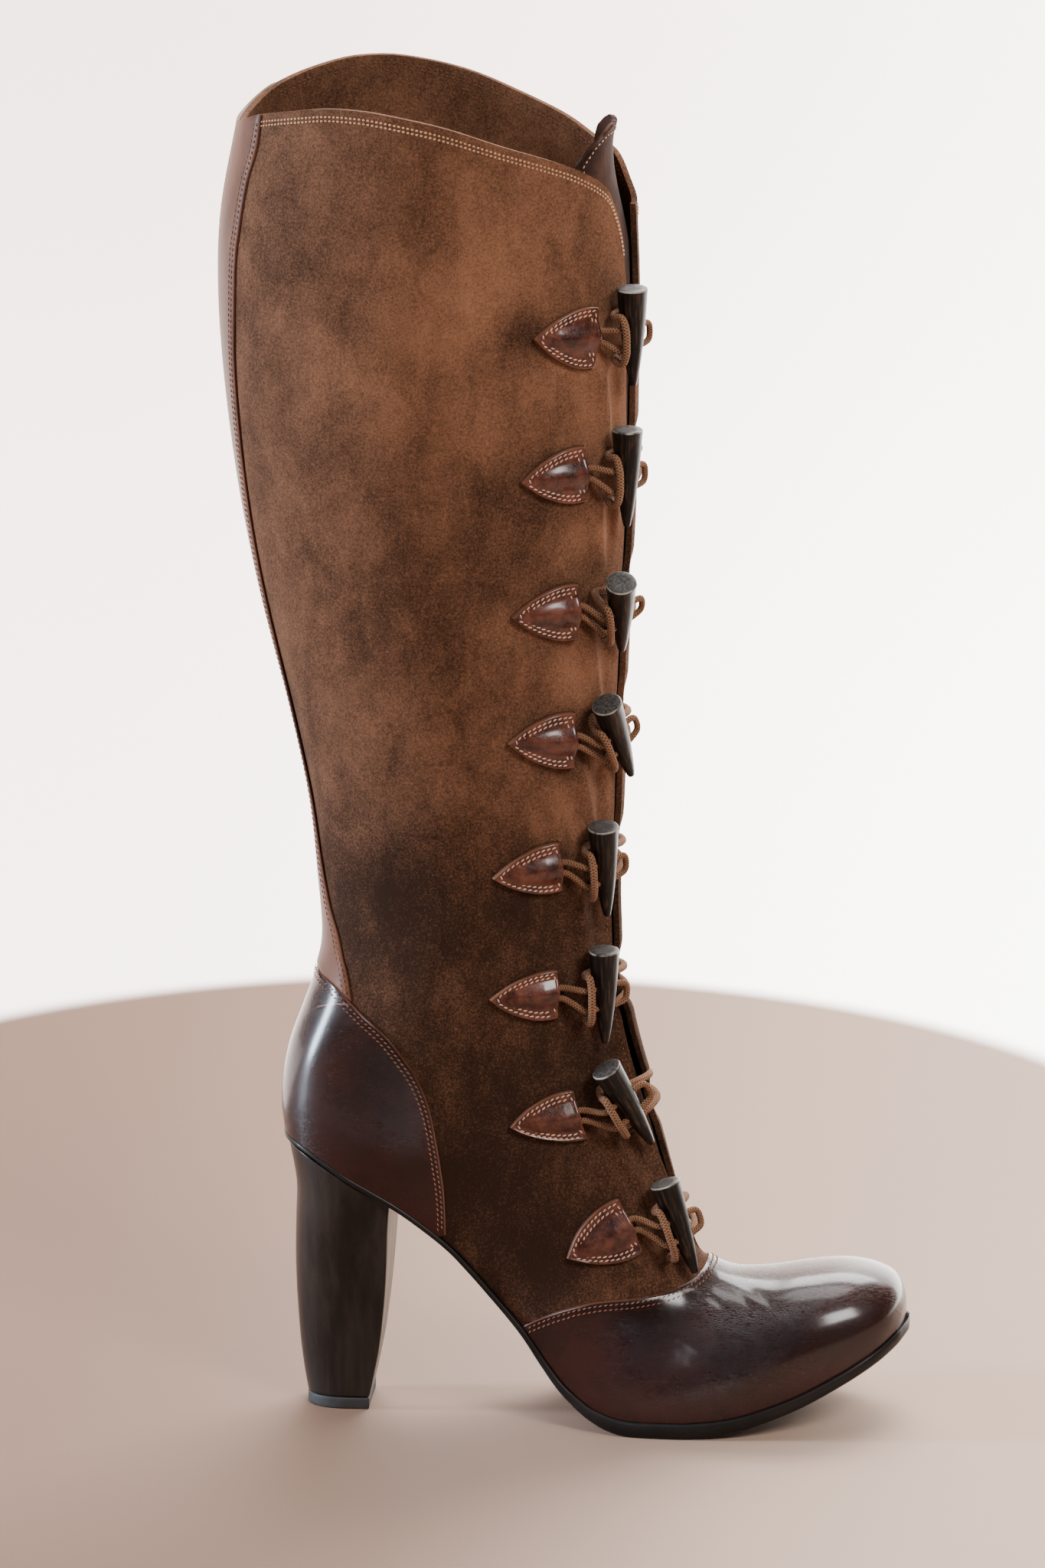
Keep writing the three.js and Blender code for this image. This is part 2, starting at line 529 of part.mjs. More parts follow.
// Closures, top to bottom. up: height of the toggle as a share of boot height. set: from the slit
// edge to the toggle, mm. reach: from the toggle to the tab, mm. raise: how far the outer tab sits
// above the toggle's own section, mm. turn: front end of the outer tab upwards, degrees. high: share
// of tab height. lean: top of the toggle towards the back, degrees. tilt: top of the toggle away
// from the leg, degrees. lift: extra room under the loop where the instep hollows, mm.
const closures = [
  { up: 0.8259, set: 11.6, reach: 11, raise: 1.1, turn: -4, high: 1.08, lean: 2, tilt: 0, lift: 0 },
  { up: 0.7213, set: 12.6, reach: 13.1, raise: 2.9, turn: 2, high: 1, lean: 1, tilt: 0, lift: 0 },
  { up: 0.6189, set: 13, reach: 12.4, raise: 2.3, turn: 0, high: 1, lean: 25, tilt: 19, lift: 0 },
  { up: 0.5234, set: 9.2, reach: 13.6, raise: 0.5, turn: -3, high: 1, lean: 30, tilt: 5, lift: 0 },
  { up: 0.4252, set: 11.2, reach: 13.4, raise: 1.6, turn: 6, high: 0.9, lean: 9, tilt: 3, lift: 0 },
  { up: 0.3289, set: 11.5, reach: 14, raise: 2.8, turn: 0, high: 0.92, lean: 1, tilt: 6, lift: 0.3 },
  { up: 0.2455, set: 11, reach: 15.4, raise: 0.3, turn: -4, high: 0.95, lean: 22, tilt: 7, lift: 0.9 },
  { up: 0.1507, set: 10.9, reach: 12.1, raise: 8.3, turn: -1, high: 1, lean: -5, tilt: 8, lift: 0.6 },
];
// How much further from its own flap's edge the inner tab sits than the outer tab from its toggle
const innerSet = 6;

function placeOfHeight(z) {
  let low = 0;
  let high = shaftRows.length + 11;
  for (let i = 0; i < 40; i++) {
    const middle = (low + high) / 2;
    if (lastPoint(middle, Math.PI * 0.93).z > z) low = middle;
    else high = middle;
  }
  return (low + high) / 2;
}

class Way extends THREE.Curve {
  constructor(points) {
    super();
    this.spline = new THREE.CatmullRomCurve3(points, false, 'centripetal');
  }

  getPoint(t, target = new THREE.Vector3()) {
    return this.spline.getPoint(t, target);
  }
}
function tube(points, radius, steps) {
  const round = new THREE.Shape();
  for (let k = 0; k < 8; k++) {
    const turn = (2 * Math.PI * k) / 8;
    if (k === 0) round.moveTo(radius, 0);
    else round.lineTo(radius * Math.cos(turn), radius * Math.sin(turn));
  }
  return toManifold(new THREE.ExtrudeGeometry(round, {
    steps, bevelEnabled: false, extrudePath: new Way(points),
  }));
}

const tabOutline = [
  { along: 0.00, half: 0.48 }, { along: 0.12, half: 0.50 }, { along: 0.32, half: 0.48 },
  { along: 0.52, half: 0.40 }, { along: 0.70, half: 0.29 }, { along: 0.86, half: 0.15 },
  { along: 1.00, half: 0.00 },
];
const ridgeOutline = [
  { along: 0.00, half: 0.24 }, { along: 0.30, half: 0.22 }, { along: 0.50, half: 0.12 },
  { along: 0.56, half: 0.00 },
];
const pocketDepth = 2.6;
const cordRise = 2.2 + cordRadius * 0.3;

function flatOutline(table) {
  const lower = table.map((row) => [row.along * tabLength, row.half * tabHeight]);
  const upper = table.slice(0, -1).map((row) => [row.along * tabLength, -row.half * tabHeight]).reverse();
  return [...lower, ...upper];
}
// Block through the skin with an outline given as (from the tab's front, up or down)
function skinBlock(spot, table, low, high) {
  const outline = flatOutline(table);
  return loft([high, low].map((height) => outline.map(([a, w]) => spot(a, w, height))));
}

const tabForm = last(clearance + tabThickness);
const ridgeForm = last(clearance + 4.4);

function makeToggle() {
  const half = toggleLength / 2;
  const profile = [
    [0, -half], [toggleTip, -half + 0.8], [toggleTip + (toggleRadius - toggleTip) * 0.34, -half * 0.5],
    [toggleTip + (toggleRadius - toggleTip) * 0.72, half * 0.2], [toggleRadius, half - 0.5],
    [toggleRadius - 0.4, half], [0, half],
  ].map(([r, z]) => new THREE.Vector2(r, z));
  const body = new THREE.LatheGeometry(profile, 10);
  body.rotateX(Math.PI / 2);
  return toManifold(body);
}

const pieces = [];
function add(name, body, material) {
  pieces.push({ name, body: body.simplify(0.01), material });
}

const suede = new THREE.MeshStandardMaterial({ name: 'suede', color: 0x6b4a37, roughness: 0.95 });
const smooth = new THREE.MeshStandardMaterial({ name: 'smooth_leather', color: 0x3c1f1c, roughness: 0.3 });
const strapLeather = new THREE.MeshStandardMaterial({ name: 'strap_leather', color: 0x6f4b3c, roughness: 0.45 });
const tabLeather = new THREE.MeshStandardMaterial({ name: 'tab_leather', color: 0x5a2a20, roughness: 0.3 });
const cordFabric = new THREE.MeshStandardMaterial({ name: 'cord', color: 0x80583e, roughness: 0.85 });
const horn = new THREE.MeshStandardMaterial({ name: 'horn', color: 0x24201e, roughness: 0.45 });
const heelLeather = new THREE.MeshStandardMaterial({ name: 'heel_leather', color: 0x2b2421, roughness: 0.4 });
const rubber = new THREE.MeshStandardMaterial({ name: 'lift_rubber', color: 0x3b393a, roughness: 0.7 });
const soleLeather = new THREE.MeshStandardMaterial({ name: 'sole_leather', color: 0x2a1d19, roughness: 0.6 });
const board = new THREE.MeshStandardMaterial({ name: 'insole_leather', color: 0x5c4030, roughness: 0.8 });

add('upper', upper, suede);
add('vamp', vamp, smooth);
add('counter', counter, smooth);
add('back_strap', backStrap, strapLeather);
add('tongue', tongue, suede);
add('insole', insole, board);
add('outsole', outsole, soleLeather);
add('heel', heel, heelLeather);
add('top_lift', topLift, rubber);

const radians = Math.PI / 180;
closures.forEach((closure, index) => {
  const number = index + 1;
  const place = placeOfHeight(closure.up * bootHeight);
  const edgeY = slitOutlineY(closure.up * bootHeight);
  const skin = walk(place, edgeY);
  const upLeg = (here) => {
    const direction = here.normal.clone().cross(here.back).normalize();
    return direction.z < 0 ? direction.negate() : direction;
  };
  // A point by walk along the section, distance up the leg and height over the skin
  const at = (arc, up, height) => {
    const here = skin(arc);
    return here.point.clone().addScaledVector(upLeg(here), up).addScaledVector(here.normal, height);
  };
  const lean = closure.lean * radians;
  const tilt = closure.tilt * radians;
  const seat = skin(closure.set);
  const rideHeight = toggleRadius * 0.86 + 2 * cordRadius + 2 * clearance + Math.sin(tilt) * holeSpacing * 0.6
    + closure.lift;
  const centre = seat.point.clone().addScaledVector(seat.normal, rideHeight);
  const axis = upLeg(seat).multiplyScalar(Math.cos(lean)).addScaledVector(seat.back, Math.sin(lean))
    .multiplyScalar(Math.cos(tilt)).addScaledVector(seat.normal, Math.sin(tilt)).normalize();
  const through = seat.back.clone().addScaledVector(axis, -seat.back.dot(axis)).normalize();
  const facing = through.clone().cross(axis).normalize();
  if (facing.dot(seat.normal) < 0) facing.negate();
  const onToggle = (back, up, out) => centre.clone().addScaledVector(through, back)
    .addScaledVector(axis, up).addScaledVector(facing, out);

  const hole = holeSpacing / 2;
  const tabArc = closure.set + closure.reach;
  const { raise } = closure;
  const turned = closure.turn * radians;
  const outerSpot = (a, w, height) => at(
    tabArc + a * Math.cos(turned) + w * Math.sin(turned),
    w * Math.cos(turned) - a * Math.sin(turned) + raise, height,
  );
  const strand = (side) => [
    outerSpot(pocketDepth, side * 2.1, cordRise),
    outerSpot(-1.0, side * 2.1, cordRise + 0.1),
    onToggle(toggleRadius + (closure.reach - toggleRadius) * 0.3, side * hole, 0),
    onToggle(toggleRadius, side * hole, 0),
    onToggle(2, side * hole, 0),
    onToggle(-2, side * hole, 0),
    onToggle(-toggleRadius + 0.4, side * hole, 0),
  ];
  const cordWay = [
    ...strand(1),
    onToggle(-toggleRadius - 2.0, hole * 0.62, 0),
    onToggle(-toggleRadius - 2.0, -hole * 0.62, 0),
    ...strand(-1).reverse(),
  ];
  const matrix = new THREE.Matrix4().makeBasis(through, facing.clone().negate(), axis);
  if (matrix.determinant() < 0) matrix.makeBasis(through, facing, axis);
  matrix.setPosition(centre);
  let toggle = makeToggle().transform(matrix.elements);
  for (const side of [1, -1]) {
    const across = (back) => onToggle(back, side * hole, 0);
    toggle = toggle.subtract(tube([across(9), across(0), across(-9)], cordRadius + clearance, 1));
  }

  // The loop comes over the front from the inner tab, runs behind the toggle and closes over its cord
  const innerArc = -(slitWidth + closure.reach + innerSet);
  const flatLift = cordRadius + clearance + 0.1 + closure.lift;
  const leanShift = (up) => closure.set + Math.sin(lean) * up;
  const wayUp = hole + 2 * cordRadius + clearance + 0.8 + Math.max(0, raise) * 0.12;
  const loopStrand = (side) => [
    at(innerArc - pocketDepth, side * 2.1, cordRise),
    at(innerArc + 1.2, side * 2.1, cordRise + 0.1),
    at(innerArc + 4.5, side * 2.6, flatLift + 0.4),
    at((innerArc + 4.5 - slitWidth) / 2, side * 3.6, flatLift + 0.1),
    at(-slitWidth, side * 4.6, flatLift),
    at(0, side * 5.6, flatLift),
    at((leanShift(side * wayUp) - 2.5) / 2, side * 6.2, flatLift),
    at(leanShift(side * wayUp) - 2.5, side * wayUp, flatLift),
    at(leanShift(side * wayUp) + 2.5, side * wayUp, flatLift + 0.1),
    onToggle(toggleRadius + 0.9, side * wayUp, -3.2),
    onToggle(toggleRadius + 1.7, side * wayUp, 0.6),
    onToggle(toggleRadius + 1.7, side * 4.6, 3.2),
  ];
  const loopWay = [
    ...loopStrand(1),
    onToggle(toggleRadius + 1.7, 0, 3.6),
    ...loopStrand(-1).reverse(),
  ];
  const innerSpot = (a, w, height) => at(innerArc - a, w, height);
  const cutTab = (spot, high) => {
    const grown = (a, w, height) => spot(a, w * high, height);
    let tab = skinBlock(grown, tabOutline, -2, 8).intersect(tabForm)
      .add(skinBlock(grown, ridgeOutline, -1.5, 9).intersect(ridgeForm)).subtract(underlay);
    for (const side of [1, -1]) {
      const pocket = [pocketDepth + 0.5, 0, -2].map((depth) => spot(depth, side * 2.1, cordRise));
      tab = tab.subtract(tube(pocket, cordRadius + clearance, 1));
    }
    return tab.simplify(0.1);
  };
  add(`tab_outer_${number}`, cutTab(outerSpot, closure.high), tabLeather);
  add(`tab_inner_${number}`, cutTab(innerSpot, 1), tabLeather);
  add(`toggle_${number}`, toggle, horn);
  add(`toggle_cord_${number}`, tube(cordWay, cordRadius, 16), cordFabric);
  add(`loop_cord_${number}`, tube(loopWay, cordRadius, 22), cordFabric);
});

function slitOutlineY(z) {
  const share = (z - throatHeight) / (bootHeight - throatHeight);
  for (let i = 0; i + 1 < slitRows.length; i++) {
    const [a, b] = [slitRows[i], slitRows[i + 1]];
    if (share <= a.up && share >= b.up) {
      const t = (a.up - share) / (a.up - b.up);
      return -slitOffset + a.centre + t * (b.centre - a.centre);
    }
  }
  return -slitOffset + slitRows[slitRows.length - 1].centre;
}

// Meshes, with the boot's box centred on the origin and standing on Z = 0
const group = new THREE.Group();
group.name = 'toggle_boot';
const meshes = pieces.map(({ name, body, material }) => {
  const mesh = body.getMesh();
  const geometry = new THREE.BufferGeometry();
  geometry.setAttribute('position', new THREE.BufferAttribute(new Float32Array(mesh.vertProperties), 3));
  geometry.setIndex(new THREE.BufferAttribute(new Uint32Array(mesh.triVerts), 1));
  geometry.computeVertexNormals();
  const piece = new THREE.Mesh(geometry, material);
  piece.name = name;
  return piece;
});
const box = new THREE.Box3();
for (const piece of meshes) {
  piece.geometry.computeBoundingBox();
  box.union(piece.geometry.boundingBox);
}
const middleOfBox = box.getCenter(new THREE.Vector3());
for (const piece of meshes) {
  piece.geometry.translate(-middleOfBox.x, -middleOfBox.y, -box.min.z);
  group.add(piece);
}

export default group;
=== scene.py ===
import math

import bmesh
import bpy
import numpy as np
from mathutils import Matrix, Vector


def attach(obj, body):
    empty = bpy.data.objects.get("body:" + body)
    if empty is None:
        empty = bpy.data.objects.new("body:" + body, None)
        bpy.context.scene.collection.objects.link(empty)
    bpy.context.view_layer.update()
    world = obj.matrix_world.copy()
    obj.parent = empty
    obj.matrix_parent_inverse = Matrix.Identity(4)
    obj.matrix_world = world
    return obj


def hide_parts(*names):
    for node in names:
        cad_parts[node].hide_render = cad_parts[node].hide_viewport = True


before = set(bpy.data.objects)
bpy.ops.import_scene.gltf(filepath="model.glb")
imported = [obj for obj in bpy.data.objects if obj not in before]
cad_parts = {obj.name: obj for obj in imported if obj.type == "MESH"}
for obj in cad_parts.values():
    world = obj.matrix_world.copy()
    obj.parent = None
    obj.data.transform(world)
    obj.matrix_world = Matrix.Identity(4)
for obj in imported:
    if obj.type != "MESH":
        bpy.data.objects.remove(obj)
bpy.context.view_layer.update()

# Camera. It looks at the outer side of the boot from a little in front and a little above, far
# enough away that the leg stays straight.
def placed(name, data):
    made = bpy.data.objects.new(name, data)
    bpy.context.scene.collection.objects.link(made)
    return made


aim = Vector((-0.01622, 0.0, 0.239))
toward_camera = Vector((0.08391, -0.95903, 0.27060))
camera_distance = 5.5
camera = placed("camera", bpy.data.cameras.new("camera"))
camera.location = aim + camera_distance * toward_camera
camera.rotation_euler = (-toward_camera).to_track_quat("-Z", "Y").to_euler()
camera.data.sensor_width = 36
camera.data.lens = 343.2
camera.data.clip_end = 100
bpy.context.scene.camera = camera

# Upper. One shell of brown suede with its lining and stiffening, 2.2 mm in all, pulled over the last
# and open down the front. Its edges are folded in and stitched, and it puckers between the fastenings.
foot_length, heel_height, boot_height, instep_height = 0.231, 0.103, 0.503, 0.160
ball_width, seat_width, ankle_depth, ankle_width = 0.075, 0.062, 0.112, 0.068
calf_depth, calf_width, wall, clearance = 0.151, 0.104, 0.0022, 0.0003
middle_x = 0.0012221
seat_x = -0.446 * foot_length - middle_x
shaft_x = seat_x + 0.058 * foot_length
ankle_height = instep_height + 0.022
# rise, back, front, half, widest: shares of the way up, of calf depth and of calf width
shaft_rows = [
    (1.020, 0.162, 0.750, 0.471, 0.45), (0.950, 0.190, 0.757, 0.481, 0.45),
    (0.850, 0.228, 0.765, 0.495, 0.45), (0.757, 0.235, 0.771, 0.500, 0.45),
    (0.648, 0.220, 0.7665, 0.495, 0.45), (0.523, 0.186, 0.7630, 0.471, 0.45),
    (0.399, 0.135, 0.7510, 0.438, 0.45), (0.274, 0.068, 0.7400, 0.394, 0.45),
    (0.165, 0.020, 0.7350, 0.361, 0.45), (0.072, 0.000, 0.7225, 0.337, 0.45),
    (0.000, -0.011, 0.7255, 0.327, 0.45),
]
# along, low, front, top, half, widest, square low, square top, swing
foot_rows = [
    (0.0550, 1.631, 0.534, 1.075, 0.419, 0.45, 2.0, 2.0, 0),
    (0.0350, 1.495, 0.539, 1.012, 0.414, 0.45, 2.05, 2.0, 0),
    (0.0130, 1.350, 0.547, 0.944, 0.406, 0.45, 2.1, 2.0, 0),
    (0.0010, 1.204, 0.5575, 0.881, 0.400, 0.44, 2.2, 2.0, 0),
    (0.0020, 1.078, 0.5685, 0.825, 0.396, 0.43, 2.5, 2.0, 0),
    (0.0220, 0.932, 0.5815, 0.769, 0.391, 0.42, 3.2, 2.0, 0),
    (0.0850, 0.874, 0.5945, 0.706, 0.385, 0.40, 5.0, 2.0, 0),
    (0.1600, 0.786, 0.6075, 0.638, 0.378, 0.38, 6.0, 2.0, -0.003),
    (0.2510, 0.636, 0.6215, 0.569, 0.363, 0.36, 6.0, 2.0, -0.012),
    (0.3250, 0.461, 0.637, 0.500, 0.356, 0.34, 5.0, 2.0, -0.019),
    (0.3850, 0.306, 0.6525, 0.438, 0.375, 0.32, 4.5, 2.0, -0.025),
    (0.4420, 0.117, 0.672, 0.378, 0.413, 0.29, 4.0, 2.0, -0.025),
    (0.4980, 0.010, 0.717, 0.340, 0.456, 0.26, 4.0, 2.1, -0.022),
    (0.5630, -0.029, 0.779, 0.335, 0.488, 0.24, 3.6, 2.2, -0.017),
    (0.6360, -0.029, 0.840, 0.346, 0.503, 0.22, 3.5, 2.3, -0.002),
    (0.7060, -0.010, 0.887, 0.352, 0.500, 0.22, 3.5, 2.3, 0.012),
    (0.7750, 0.034, 0.923, 0.349, 0.478, 0.23, 3.5, 2.3, 0.028),
    (0.8400, 0.092, 0.953, 0.338, 0.431, 0.25, 3.5, 2.3, 0.038),
    (0.8960, 0.150, 0.974, 0.323, 0.366, 0.28, 3.5, 2.3, 0.041),
    (0.9400, 0.204, 0.985, 0.303, 0.288, 0.32, 3.2, 2.3, 0.044),
    (0.9720, 0.252, 0.991, 0.277, 0.188, 0.38, 3.0, 2.3, 0.048),
]
toe_along, toe_up, toe_swing = 0.9930, 0.338, 0.050
# The rows above are shares of calf and ball. Low on the shaft the ankle takes over, and towards the
# back of the foot the seat, each times its own number.
ankle_deeper, ankle_wider, seat_wider = 1.348, 1.529, 1.29
calf_from, seat_up_to = 0.6, 0.35
toe_cap = (0.86, 0.68, 0.48, 0.26, 0.06)


def last_rows():
    made = []
    for rise, back, front, half, widest in shaft_rows:
        z = ankle_height + rise * (boot_height - ankle_height)
        calf = min(1, rise / calf_from)
        depth = calf_depth * calf + ankle_depth * ankle_deeper * (1 - calf)
        width = calf_width * calf + ankle_width * ankle_wider * (1 - calf)
        made.append((shaft_x - back * depth, z, shaft_x + front * depth, z, half * width, widest, 2, 2, 0))
    for along, low, front, top, half, widest, square_low, square_top, swing in foot_rows:
        heel = min(1, max(0, 1 - along / seat_up_to))
        width = ball_width * (1 - heel) + seat_width * seat_wider * heel
        made.append((seat_x + along * foot_length, low * heel_height, seat_x + front * foot_length,
                     top * instep_height, half * width, widest, square_low, square_top, swing * ball_width))
    low_x, low_z, top_x, top_z, half, widest, square_low, square_top, swing = made[-1]
    tip_x = seat_x + toe_along * foot_length
    tip_z, tip_y = toe_up * heel_height, toe_swing * ball_width
    for w in toe_cap:
        made.append((tip_x - (tip_x - low_x) * w * w, tip_z + (low_z - tip_z) * w,
                     tip_x - (tip_x - top_x) * w * w, tip_z + (top_z - tip_z) * w, half * w, widest,
                     2.4 + 0.6 * w, 2.3, tip_y + (swing - tip_y) * w))
    return np.array(made)


rows = last_rows()


# A smooth curve through b and c, a and d being the points before and after them
def curved(a, b, c, d, t):
    return 0.5 * (2 * b + (c - a) * t + (2 * a - 5 * b + 4 * c - d) * t**2 + (3 * b - a - 3 * c + d) * t**3)


def row_at(place):
    i = np.clip(np.floor(place).astype(int), 0, len(rows) - 2)
    t = (place - i)[..., None]
    return curved(*(rows[np.clip(i + k, 0, len(rows) - 1)] for k in (-1, 0, 1, 2)), t)


def unit(v):
    return v / np.maximum(np.linalg.norm(v, axis=-1, keepdims=True), 1e-12)


# A point of the last: place along its rows, turn 0 at the back or bottom, pi at the front or top,
# 0 to pi on the outer side
def bare(place, turn):
    row = np.moveaxis(row_at(place), -1, 0)
    low_x, low_z, top_x, top_z, half, widest, square_low, square_top, swing = row
    c, s = np.cos(turn), np.sin(turn)
    square = np.where(c > 0, square_low, square_top)
    ray = (np.abs(c) ** square + np.abs(s) ** square) ** (-1 / square)
    share = np.where(c > 0, widest * (1 - ray * np.abs(c)), widest + (1 - widest) * ray * np.abs(c))
    x, z = low_x + share * (top_x - low_x), low_z + share * (top_z - low_z)
    return np.stack([x, swing - ray * s * half, z], -1)


def outward(place, turn):
    step = 2e-3
    down = bare(place + step, turn) - bare(place - step, turn)
    across = bare(place, turn + step) - bare(place, turn - step)
    return unit(np.cross(down, across))


def skin(place, turn, height=0.0):
    place, turn = np.broadcast_arrays(np.asarray(place, float), np.asarray(turn, float))
    out = outward(place, turn)
    return bare(place, turn) + out * np.asarray(height)[..., None], out


def smooth_line(points, per=10):
    p = np.asarray(points, float)
    p = np.vstack([2 * p[0] - p[1], p, 2 * p[-1] - p[-2]])
    t = (np.arange(per) / per)[:, None]
    parts = [curved(*four, t) for four in zip(p[:-3], p[1:-2], p[2:-1], p[3:])]
    return np.vstack(parts + [p[-2:-1]])


# Between low and high, the place up to which before(place) holds
def halved(low, high, before, times):
    for _ in range(times):
        middle = (low + high) / 2
        held = before(middle)
        low, high = np.where(held, middle, low), np.where(held, high, middle)
    return low


# How far along a line of points each one lies
def distance_along(points):
    return np.concatenate([[0], np.cumsum(np.linalg.norm(np.diff(points, axis=0), axis=1))])


# Place and turn on the outer side of the last where a line (x, z) of the side view runs over it
def over_last(line):
    fine = smooth_line(line)

    def row_and_run(place):
        r = row_at(place)
        return r, r[:, 2] - r[:, 0], r[:, 3] - r[:, 1]

    def not_above(place):
        r, dx, dz = row_and_run(place)
        return ~(dx * (fine[:, 1] - r[:, 1]) - dz * (fine[:, 0] - r[:, 0]) > 0)

    low = halved(np.full(len(fine), 0.0), np.full(len(fine), len(rows) - 1.0), not_above, 40)
    r, dx, dz = row_and_run(low)
    share = ((fine[:, 0] - r[:, 0]) * dx + (fine[:, 1] - r[:, 1]) * dz) / (dx * dx + dz * dz)
    places, shares = [], []
    for i in range(len(fine)):
        inside = 0 <= share[i] <= 1
        if i and inside != (0 <= share[i - 1] <= 1):
            edge = 0.0 if min(share[i], share[i - 1]) < 0 else 1.0
            t = (edge - share[i - 1]) / (share[i] - share[i - 1])
            places.append(low[i - 1] + t * (low[i] - low[i - 1]))
            shares.append(edge)
        if inside:
            places.append(low[i])
            shares.append(share[i])
    places, shares = np.array(places), np.array(shares)
    widest, square_low, square_top = row_at(places)[:, 5:8].T
    upper = shares > widest
    reach = np.where(upper, (shares - widest) / (1 - widest), 1 - shares / widest)
    square = np.where(upper, square_top, square_low)
    side = np.maximum(0, 1 - np.minimum(reach, 1) ** square) ** (1 / square)
    return places, np.arctan2(side, np.where(upper, -reach, reach))


# The same line with its points evenly spaced over the last
def spaced(places, turns, count):
    gone = distance_along(bare(places, turns))
    wanted = np.linspace(0, gone[-1], count)
    return np.interp(wanted, gone, places), np.interp(wanted, gone, turns)


# Underside of the sole in side view: along, low, thick
sole_thickness, waist_thickness = 0.0058, 0.0020
sole_rows = [
    (-0.030, 1.030, 0), (0.000, 1.014, 0), (0.037, 0.990, 0), (0.076, 0.944, 0), (0.113, 0.894, 0),
    (0.179, 0.810, 0), (0.225, 0.738, 0), (0.271, 0.653, 0), (0.306, 0.568, 0), (0.339, 0.480, 0),
    (0.387, 0.350, 0.05), (0.420, 0.240, 0.12), (0.450, 0.150, 0.25), (0.484, 0.078, 0.5),
    (0.507, 0.043, 0.7), (0.530, 0.018, 0.87), (0.555, 0.004, 0.97), (0.580, 0.000, 1),
    (0.640, 0.000, 1), (0.670, 0.003, 1), (0.712, 0.015, 0.95), (0.760, 0.042, 0.85),
    (0.835, 0.105, 0.7), (0.903, 0.180, 0.6), (0.961, 0.252, 0.55), (1.000, 0.308, 0.5),
    (1.030, 0.352, 0.5),
]


def sole_line(of_sole, further):
    p = np.array([(seat_x + along * foot_length, low * heel_height) for along, low, _ in sole_rows])
    run = unit(np.vstack([p[1:], p[-1:]]) - np.vstack([p[:1], p[:-1]]))
    thickness = waist_thickness + np.array(sole_rows)[:, 2] * (sole_thickness - waist_thickness)
    rise = (of_sole * thickness + further)[:, None]
    return p + np.stack([-run[:, 1], run[:, 0]], 1) * rise


feather_place, feather_turn = over_last(sole_line(1, clearance))

# Rim in side view: along, up
rim_rows = [(-0.260, 0.9640), (-0.204, 0.9690), (-0.120, 0.9860), (0.019, 0.9975), (0.118, 0.9995),
            (0.211, 0.9965), (0.340, 0.9880), (0.475, 0.9735), (0.585, 0.9610), (0.655, 0.9500)]
inner_corner = [
    (0.714, 0.9430), (0.747, 0.9280), (0.765, 0.9120), (0.777, 0.8900), (0.790, 0.8400),
]
outer_corner = [
    (0.707, 0.9360), (0.728, 0.9190), (0.740, 0.8980), (0.747, 0.8700), (0.760, 0.8000),
]


def rim_height(x, corner):
    line = smooth_line([(shaft_x + along * calf_depth, up * boot_height) for along, up in rim_rows + corner])
    return np.interp(x, line[:, 0], line[:, 1])


# Slit between the two flaps: up from the throat, how far its middle has moved inwards, share of its
# width. Below its foot the middle stays in one place.
slit_width, slit_offset = 0.008, 0.009
slit_foot_up, slit_foot_middle = 0.02, 0.0035
throat_height = 0.395 * instep_height
slit_rows = [
    (-0.10, 0.0045, 0), (-0.0024, 0.0045, 0), (0.000, 0.004, 0.33), (0.02, 0.0035, 1), (0.08, 0.002, 1),
    (0.16, 0.001, 1), (0.25, 0.0005, 1), (0.40, 0, 1), (1.10, 0, 1),
]


def slit_turn(place, of_width):
    r = row_at(place)
    up = (r[..., 3] - throat_height) / (boot_height - throat_height)
    ups, centres, widths = np.array(slit_rows).T
    middle = -slit_offset + slit_width / 2 + np.interp(up, ups, centres)
    middle = np.where(up < slit_foot_up, -slit_offset + slit_width / 2 + slit_foot_middle, middle)
    y = middle + (of_width - 0.5) * slit_width * np.interp(up, ups, widths)
    share = (r[..., 8] - y) / r[..., 4]
    square = r[..., 7]
    across = np.abs(share)
    reach = np.maximum(0, 1 - across**square) ** (1 / square)
    return math.pi - np.sign(share) * np.arctan2(across, reach)


# A grid of faces laid out by a rule of u and v, each from 0 to 1. The rule gives the points, which
# way is out, and what else is kept with each point.
def laid(bm, count_u, count_v, rule):
    made = bmesh.ops.create_grid(bm, x_segments=count_u, y_segments=count_v, size=0.5)["verts"]
    flat = np.array([v.co[:2] for v in made]) + 0.5
    kept = rule(np.clip(flat[:, 0], 0, 1), np.clip(flat[:, 1], 0, 1))
    layers = {key: bm.verts.layers.float.get(key) or bm.verts.layers.float.new(key)
              for key in kept if key not in ("at", "out")}
    made = [v for v in bm.verts][-len(made):]
    for i, v in enumerate(made):
        v.co = kept["at"][i]
        for key, layer in layers.items():
            v[layer] = float(kept[key][i])
    faces = list({f for v in made for f in v.link_faces})
    if "out" in kept:
        for f in faces:
            f.normal_update()
        index = {v: i for i, v in enumerate(made)}
        tested = faces[:: max(1, len(faces) // 400)]
        facing = sum(f.normal.dot(Vector(kept["out"][index[f.verts[0]]])) for f in tested)
        if facing < 0:
            bmesh.ops.reverse_faces(bm, faces=faces)


# Modifiers of a sheet: its thickness, inwards, and its rounded edges
def rounded(width, segments, angle=1.0):
    return ("BEVEL", {"width": width, "segments": segments, "limit_method": "ANGLE", "angle_limit": angle})


def sheet(thickness, edge_width, segments):
    return [("SOLIDIFY", {"thickness": thickness, "offset": -1}), rounded(edge_width, segments)]


